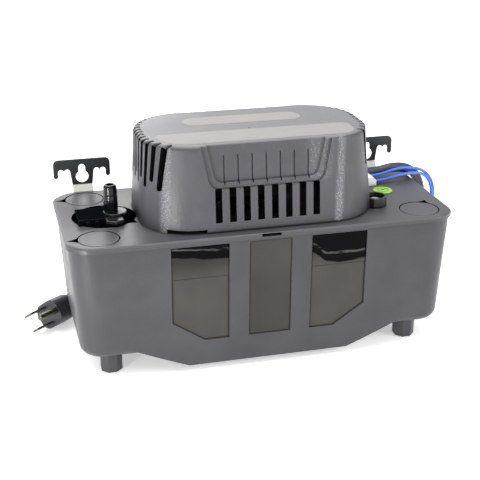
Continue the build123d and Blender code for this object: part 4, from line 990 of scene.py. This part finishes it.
class PUMP_OT_shared_effects(PieceOperator, bpy.types.Operator):
    """Builds the shader groups that the finishes share"""
    bl_idname = "pump.shared_effects"
    bl_label = "Shared effects"

    def execute(self, context):
        make_mould_grain()
        make_soft_edge()
        make_handling()
        make_brushed()
        return {"FINISHED"}


class PUMP_OT_tank(PieceOperator, bpy.types.Operator):
    """Finishes the tank and the two hangers behind it"""
    bl_idname = "pump.tank"
    bl_label = "Tank and hangers"

    def execute(self, context):
        finishes = self.finishes()
        paint(tank_material(finishes), "tank")
        reshaped("tank", "tank", true_tank, None, None)
        paint(hanger_material(finishes), "hanger_left", "hanger_right")
        paint(metal("screw_steel_bright", colour("c9c9c6"), 0.28, hollow=0.03), "hanger_screws", "column_screws",
              "volute_screws", "motor_screws", "switch_screws", "float_arm_pin")
        paint(metal("screw_zinc", colour("f0f0f0"), 0.35, hollow=0.0002), "cover_screw")
        return {"FINISHED"}


class PUMP_OT_deck(PieceOperator, bpy.types.Operator):
    """Finishes the deck, its inlet plugs, marker, bushing and strain relief"""
    bl_idname = "pump.deck"
    bl_label = "Deck"

    def execute(self, context):
        finishes = self.finishes()
        deck, tree, shader, point, base = moulded("deck_satin", finishes.deck, grain_scale=1500.0,
                                                  grain=0.00008, roughness=0.4)
        x, y, z = axes(tree, point)
        # Painted shade: the deck is nearly black under the cover, where little light reaches it.
        covered = cover_depth(tree, point).step(-0.0005, -0.003)
        base = mix(tree, covered * open_share(tree, 0.07, 0.3, 0.9).flip(), base, colour("040404"))
        # Painted shade: black lines round the inlets, and black where the deck lies below its top inside its rim.
        ring = z * 0.0
        for inlet in INLETS:
            from_inlet = ((x - inlet.x) * (x - inlet.x) + (y - inlet.y) * (y - inlet.y)).math("SQRT")
            ring = ring.most((from_inlet - INLET_RING).size().step(0.0007, 0.0003))
        within = ((x - MIDDLE.x).size().step(0.135, 0.1345) * (y - MIDDLE.y).size().step(0.0545, 0.054))
        below = z - DECK_TOP
        base = mix(tree, ring.most(below.step(-0.0004, -0.0009)) * within * 0.94, base, colour("060607"))
        # Painted shade: the deck's outer side is darker below its top.
        edge = below.step(-0.001, -0.002) * within.flip()
        base = mix(tree, edge * 0.85, base, darker(finishes.deck, 0.5))
        put(tree, shader.inputs["Base Color"], base)
        rough = Wire(tree, shader.inputs["Roughness"].links[0].from_socket)
        put(tree, shader.inputs["Roughness"], rough + covered * 0.6)
        paint(deck, "deck", "inlet_plug_left_back", "inlet_plug_left_front", "inlet_plug_right_front")
        reshaped("deck", "pump_head", true_deck, deep_in_deck,
                 painted_shade_material("deck_painted_shade", colour("060607")))
        marker = moulded("marker_gloss", finishes.marker, grain=0.00002, roughness=0.34, edge=0.2)[0]
        paint(marker, "green_disc")
        bushing = moulded("bushing_nylon", finishes.bushing, grain=0.00003, roughness=0.36, edge=0.1,
                          contrast=0.03)[0]
        paint(bushing, "lead_bushing")
        relief_jacket = moulded("relief_rubber", finishes.cord, grain=0.00004, roughness=0.5)[0]
        paint(relief_jacket, "strain_relief", "valve_seal")
        return {"FINISHED"}


class PUMP_OT_valve(PieceOperator, bpy.types.Operator):
    """Finishes the check valve, its barb and its lock ring"""
    bl_idname = "pump.valve"
    bl_label = "Check valve"

    def execute(self, context):
        finishes = self.finishes()
        # Painted highlights: the colours given for the edges of the block, the barb and the cap.
        block = moulded("valve_satin", darker(finishes.black, 0.6), grain=0.00003, roughness=0.5, edge=0.5,
                        hollow=0.004, edge_highlight=colour("4a4a4e"))
        block[2].inputs["Specular IOR Level"].default_value = 0.0
        paint(block[0], "valve_body")
        gloss = moulded("barb_gloss", darker(finishes.black, 0.5), grain=0.00001, roughness=0.1, edge=0.7,
                        edge_radius=0.0004, hollow=0.0015, edge_highlight=colour("6a6a6e"))
        gloss[2].inputs["Specular IOR Level"].default_value = 0.3
        paint(gloss[0], "discharge_barb")
        cap = moulded("cap_gloss", darker(finishes.black, 1.6), grain=0.00002, roughness=0.3, edge=0.9,
                      edge_highlight=colour("77777c"))[0]
        paint(cap, "valve_cap")
        ring, tree, shader, point, base = moulded("lock_ring_satin", finishes.lock_ring, grain=0.00003,
                                                  roughness=0.4, edge=0.25)
        x, y, z = axes(tree, point)
        # Painted shade: the side of the ring that is turned away from the light is as dark as the valve.
        turned = (x + y * 0.6 - (RING_LOW.x + RING_HIGH.x) / 2 - (RING_LOW.y + RING_HIGH.y) * 0.3)
        put(tree, shader.inputs["Base Color"], mix(tree, turned.step(0.001, 0.004), finishes.black, base))
        paint(ring, "valve_lock_ring")
        paint(metal("ball_steel", colour("cfd0d2"), 0.16), "valve_ball")
        return {"FINISHED"}


class PUMP_OT_cover(PieceOperator, bpy.types.Operator):
    """Finishes the motor cover and lays the two bare plates on its top"""
    bl_idname = "pump.cover"
    bl_label = "Motor cover"

    def execute(self, context):
        finishes = self.finishes()
        paint(cover_material(finishes), "motor_cover")
        reshaped("motor_cover", "motor_cover", true_cover, deep_in_cover,
                 painted_shade_material("cover_painted_shade", colour("0c0c0e")))
        foil = plate_material(finishes)
        back = rounded_rectangle(BACK_PLATE_HALF, BACK_PLATE_CORNERS)
        front = rounded_rectangle(FRONT_PLATE_HALF, FRONT_PLATE_CORNERS)
        top = COVER_HIGH.z
        plates = [thin_plate("top_plate_back", back, BACK_PLATE_PLACE, top, PLATE_THICKNESS, foil, "motor_cover"),
                  thin_plate("top_plate_front", front, FRONT_PLATE_PLACE, top, PLATE_THICKNESS, foil,
                             "motor_cover")]
        pit = moulded("gate_mark_dark", colour("1c1c1e"), grain=0.00002, edge=0.0)[0]
        mark = rounded_rectangle((GATE_MARK_RADIUS,) * 2, (GATE_MARK_RADIUS,) * 4)
        plates.append(thin_plate("gate_mark", mark, GATE_MARK_PLACE, top, PLATE_THICKNESS / 2, pit,
                                 "motor_cover"))
        return {"FINISHED"}


class PUMP_OT_motor(PieceOperator, bpy.types.Operator):
    """Finishes the motor and winds its coil"""
    bl_idname = "pump.motor"
    bl_label = "Motor"

    def execute(self, context):
        finishes = self.finishes()
        # Long reaches of painted shade darken the motor's parts while the cover is on them.
        paint(lamination_material(), "stator_laminations", "rotor")
        cast = metal("bracket_cast_zinc", colour("5c5c5b"), 0.5, scale=300.0, depth=0.00012,
                     hollow=0.05)
        paint(cast, "motor_bracket_lower", "motor_bracket_upper")
        paint(metal("bearing_bronze_oiled", colour("9a6a34"), 0.4), "bearing_lower", "bearing_upper")
        paint(metal("shaft_ground", colour("d2d2d0"), 0.18, scale=1600.0), "motor_shaft")
        paint(moulded("fan_nylon", colour("26272a"), roughness=0.42, hollow=0.05)[0], "cooling_fan")
        copper = metal("winding_enamel", finishes.copper, 0.3, scale=500.0, hollow=0.05)
        winding_piece(context.scene.pump_winding, copper)
        return {"FINISHED"}


class PUMP_OT_wet_end(PieceOperator, bpy.types.Operator):
    """Finishes the pump below the deck, its tube and the float"""
    bl_idname = "pump.wet_end"
    bl_label = "Pump and float"

    def execute(self, context):
        body = moulded("pump_nylon", colour("2e2f32"), grain=0.00006, roughness=0.4)[0]
        paint(body, "pump_column", "volute", "pump_base", "impeller")
        paint(vinyl_material(), "discharge_tube")
        paint(foam_material(), "float")
        arm = moulded("arm_acetal", colour("e3e2dc"), grain=0.00003, roughness=0.38, edge=0.1,
                      contrast=0.05)[0]
        paint(arm, "float_arm", "push_rod")
        return {"FINISHED"}


class PUMP_OT_switches(PieceOperator, bpy.types.Operator):
    """Finishes the two switches and their bracket"""
    bl_idname = "pump.switches"
    bl_label = "Switches"

    def execute(self, context):
        # Long reaches of painted shade darken the switches and their bracket while the cover is on them.
        case = moulded("switch_phenolic", colour("17181a"), grain=0.00003, roughness=0.34, hollow=0.05)[0]
        paint(case, "run_switch_body", "safety_switch_body")
        spring = metal("switch_spring_steel", colour("cdccc6"), 0.24, hollow=0.05)
        paint(spring, "switch_bracket", "run_switch_lever", "safety_switch_lever")
        button = moulded("button_acetal", colour("b4241c"), grain=0.00002, roughness=0.3, edge=0.2)[0]
        paint(button, "run_switch_button", "safety_switch_button")
        return {"FINISHED"}


class PUMP_OT_power_cord(PieceOperator, bpy.types.Operator):
    """Lays the power cord from the deck to its plug, with its put-away coil"""
    bl_idname = "pump.power_cord"
    bl_label = "Power cord"

    def execute(self, context):
        finishes, cords = self.finishes(), self.cords()
        jacket = cord_material("cord_jacket", finishes.cord, 0.42)
        route = np.concatenate([placed(CORD_TO_COIL), coil_points(cords), placed(CORD_TO_PLUG)])
        cord = free_cord("power_cord_line", route, cords.cord_diameter, cords, jacket,
                         ("power_cord", "cord_coil", "power_cord_end"))
        paint(cord_material("plug_vinyl", finishes.cord, 0.4, lengthwise=False), "plug_body")
        paint(metal("blade_nickel", finishes.brass, 0.3), "plug_blades", "plug_ground_pin")
        return {"FINISHED"}


class PUMP_OT_safety_leads(PieceOperator, bpy.types.Operator):
    """Lays the two blue leads of the safety switch"""
    bl_idname = "pump.safety_leads"
    bl_label = "Safety leads"

    def execute(self, context):
        finishes, cords = self.finishes(), self.cords()
        blue = cord_material("lead_insulation", finishes.lead, 0.36, jacket=0.00002)
        paint(metal("lead_strands", finishes.copper, 0.3, scale=2600.0, depth=0.00006), "lead_ends")
        ends = [NODES["lead_ends"]]
        for name, route, pieces in (("front", LEAD_FRONT, ends), ("back", LEAD_BACK, [])):
            lead = free_cord(f"safety_lead_{name}_line", placed(route), cords.lead_diameter, cords, blue,
                             (f"safety_lead_{name}",))
        return {"FINISHED"}


def area_light(name, place, aim, size, power):
    """A soft rectangular light aimed at a point."""
    data = bpy.data.lights.new(name, "AREA")
    data.shape = "RECTANGLE"
    data.size, data.size_y = size
    data.energy = power
    light = bpy.data.objects.new(name, data)
    light.location = place
    light.rotation_euler = (Vector(aim) - Vector(place)).to_track_quat("-Z", "Y").to_euler()
    bpy.context.scene.collection.objects.link(light)


class PUMP_OT_stage(PieceOperator, bpy.types.Operator):
    """Sets the plain floor, the soft lights and the camera"""
    bl_idname = "pump.stage"
    bl_label = "Stage"

    def execute(self, context):
        stage = context.scene.pump_stage
        material, tree, shader, point = new_material("floor_pale")
        tone = noise(tree, point, 3.0, 2.0)
        put(tree, shader.inputs["Base Color"], mix(tree, tone, stage.floor, darker(stage.floor, 0.99)))
        shader.inputs["Roughness"].default_value = 0.7
        shader.inputs["Emission Color"].default_value = (1.0, 1.0, 1.0, 1.0)
        shader.inputs["Emission Strength"].default_value = stage.floor_glow
        half = stage.floor_size / 2
        corners = np.array([(-half, -half, 0), (half, -half, 0), (half, half, 0), (-half, half, 0)])
        add_piece("floor", corners, [[0, 1, 2, 3]], material)
        aim = tuple(stage.aim)
        area_light("back_box", (-0.4, 1.5, 0.8), aim, (1.4, 0.8), 10.0)
        area_light("left_box", (-1.5, 0.1, 0.5), aim, (0.8, 1.2), 2.0)
        area_light("top_box", (-0.2, -0.1, 1.7), aim, (1.6, 1.6), 30.0)
        area_light("left_strip", (-0.33, -0.27, 0.06), (-0.104, -0.004, 0.12), (0.012, 0.11), 0.8)
        area_light("right_box", (1.0, -0.85, 0.6), aim, (0.5, 0.7), 9.0)
        world = bpy.data.worlds.new("studio")
        world.use_nodes = True
        background = world.node_tree.nodes["Background"]
        background.inputs["Color"].default_value = (1.0, 1.0, 1.0, 1.0)
        background.inputs["Strength"].default_value = 0.75
        context.scene.world = world
        context.scene.view_settings.view_transform = "Standard"
        camera = bpy.data.objects.new("camera", bpy.data.cameras.new("camera"))
        camera.data.sensor_width = 36.0
        camera.data.lens = stage.lens
        camera.data.clip_start = 0.05
        camera.location = stage.camera_place
        camera.rotation_euler = (Vector(aim) - camera.location).to_track_quat("-Z", "Y").to_euler()
        context.scene.collection.objects.link(camera)
        context.scene.camera = camera
        return {"FINISHED"}


OPERATORS = (PUMP_OT_shared_effects, PUMP_OT_tank, PUMP_OT_deck, PUMP_OT_valve, PUMP_OT_cover,
             PUMP_OT_motor, PUMP_OT_wet_end, PUMP_OT_switches, PUMP_OT_power_cord,
             PUMP_OT_safety_leads, PUMP_OT_stage)
GROUPS = {"pump_cords": PumpCords, "pump_winding": PumpWinding, "pump_finishes": PumpFinishes,
          "pump_stage": PumpStage}


class PUMP_PT_pieces(bpy.types.Panel):
    """Lists the sizes, the colours and the pieces"""
    bl_idname = "PUMP_PT_pieces"
    bl_label = "Condensate pump"
    bl_space_type = "VIEW_3D"
    bl_region_type = "UI"
    bl_category = "Pump"

    def draw(self, context):
        for operator in OPERATORS:
            self.layout.operator(operator.bl_idname)
        for name, group in GROUPS.items():
            box = self.layout.box()
            box.label(text=name.replace("_", " ").capitalize())
            for field in group.__annotations__:
                box.prop(getattr(context.scene, name), field)


def register():
    for group in GROUPS.values():
        bpy.utils.register_class(group)
    for operator in OPERATORS:
        bpy.utils.register_class(operator)
    bpy.utils.register_class(PUMP_PT_pieces)
    for name, group in GROUPS.items():
        setattr(bpy.types.Scene, name, bpy.props.PointerProperty(type=group))


def unregister():
    for name in GROUPS:
        delattr(bpy.types.Scene, name)
    bpy.utils.unregister_class(PUMP_PT_pieces)
    for operator in reversed(OPERATORS):
        bpy.utils.unregister_class(operator)
    for group in reversed(list(GROUPS.values())):
        bpy.utils.unregister_class(group)


def main():
    register()
    bpy.ops.pump.shared_effects()
    bpy.ops.pump.tank()
    bpy.ops.pump.deck()
    bpy.ops.pump.valve()
    bpy.ops.pump.cover()
    bpy.ops.pump.motor()
    bpy.ops.pump.wet_end()
    bpy.ops.pump.switches()
    bpy.ops.pump.power_cord()
    bpy.ops.pump.safety_leads()
    bpy.ops.pump.stage()


if __name__ == "__main__":
    main()
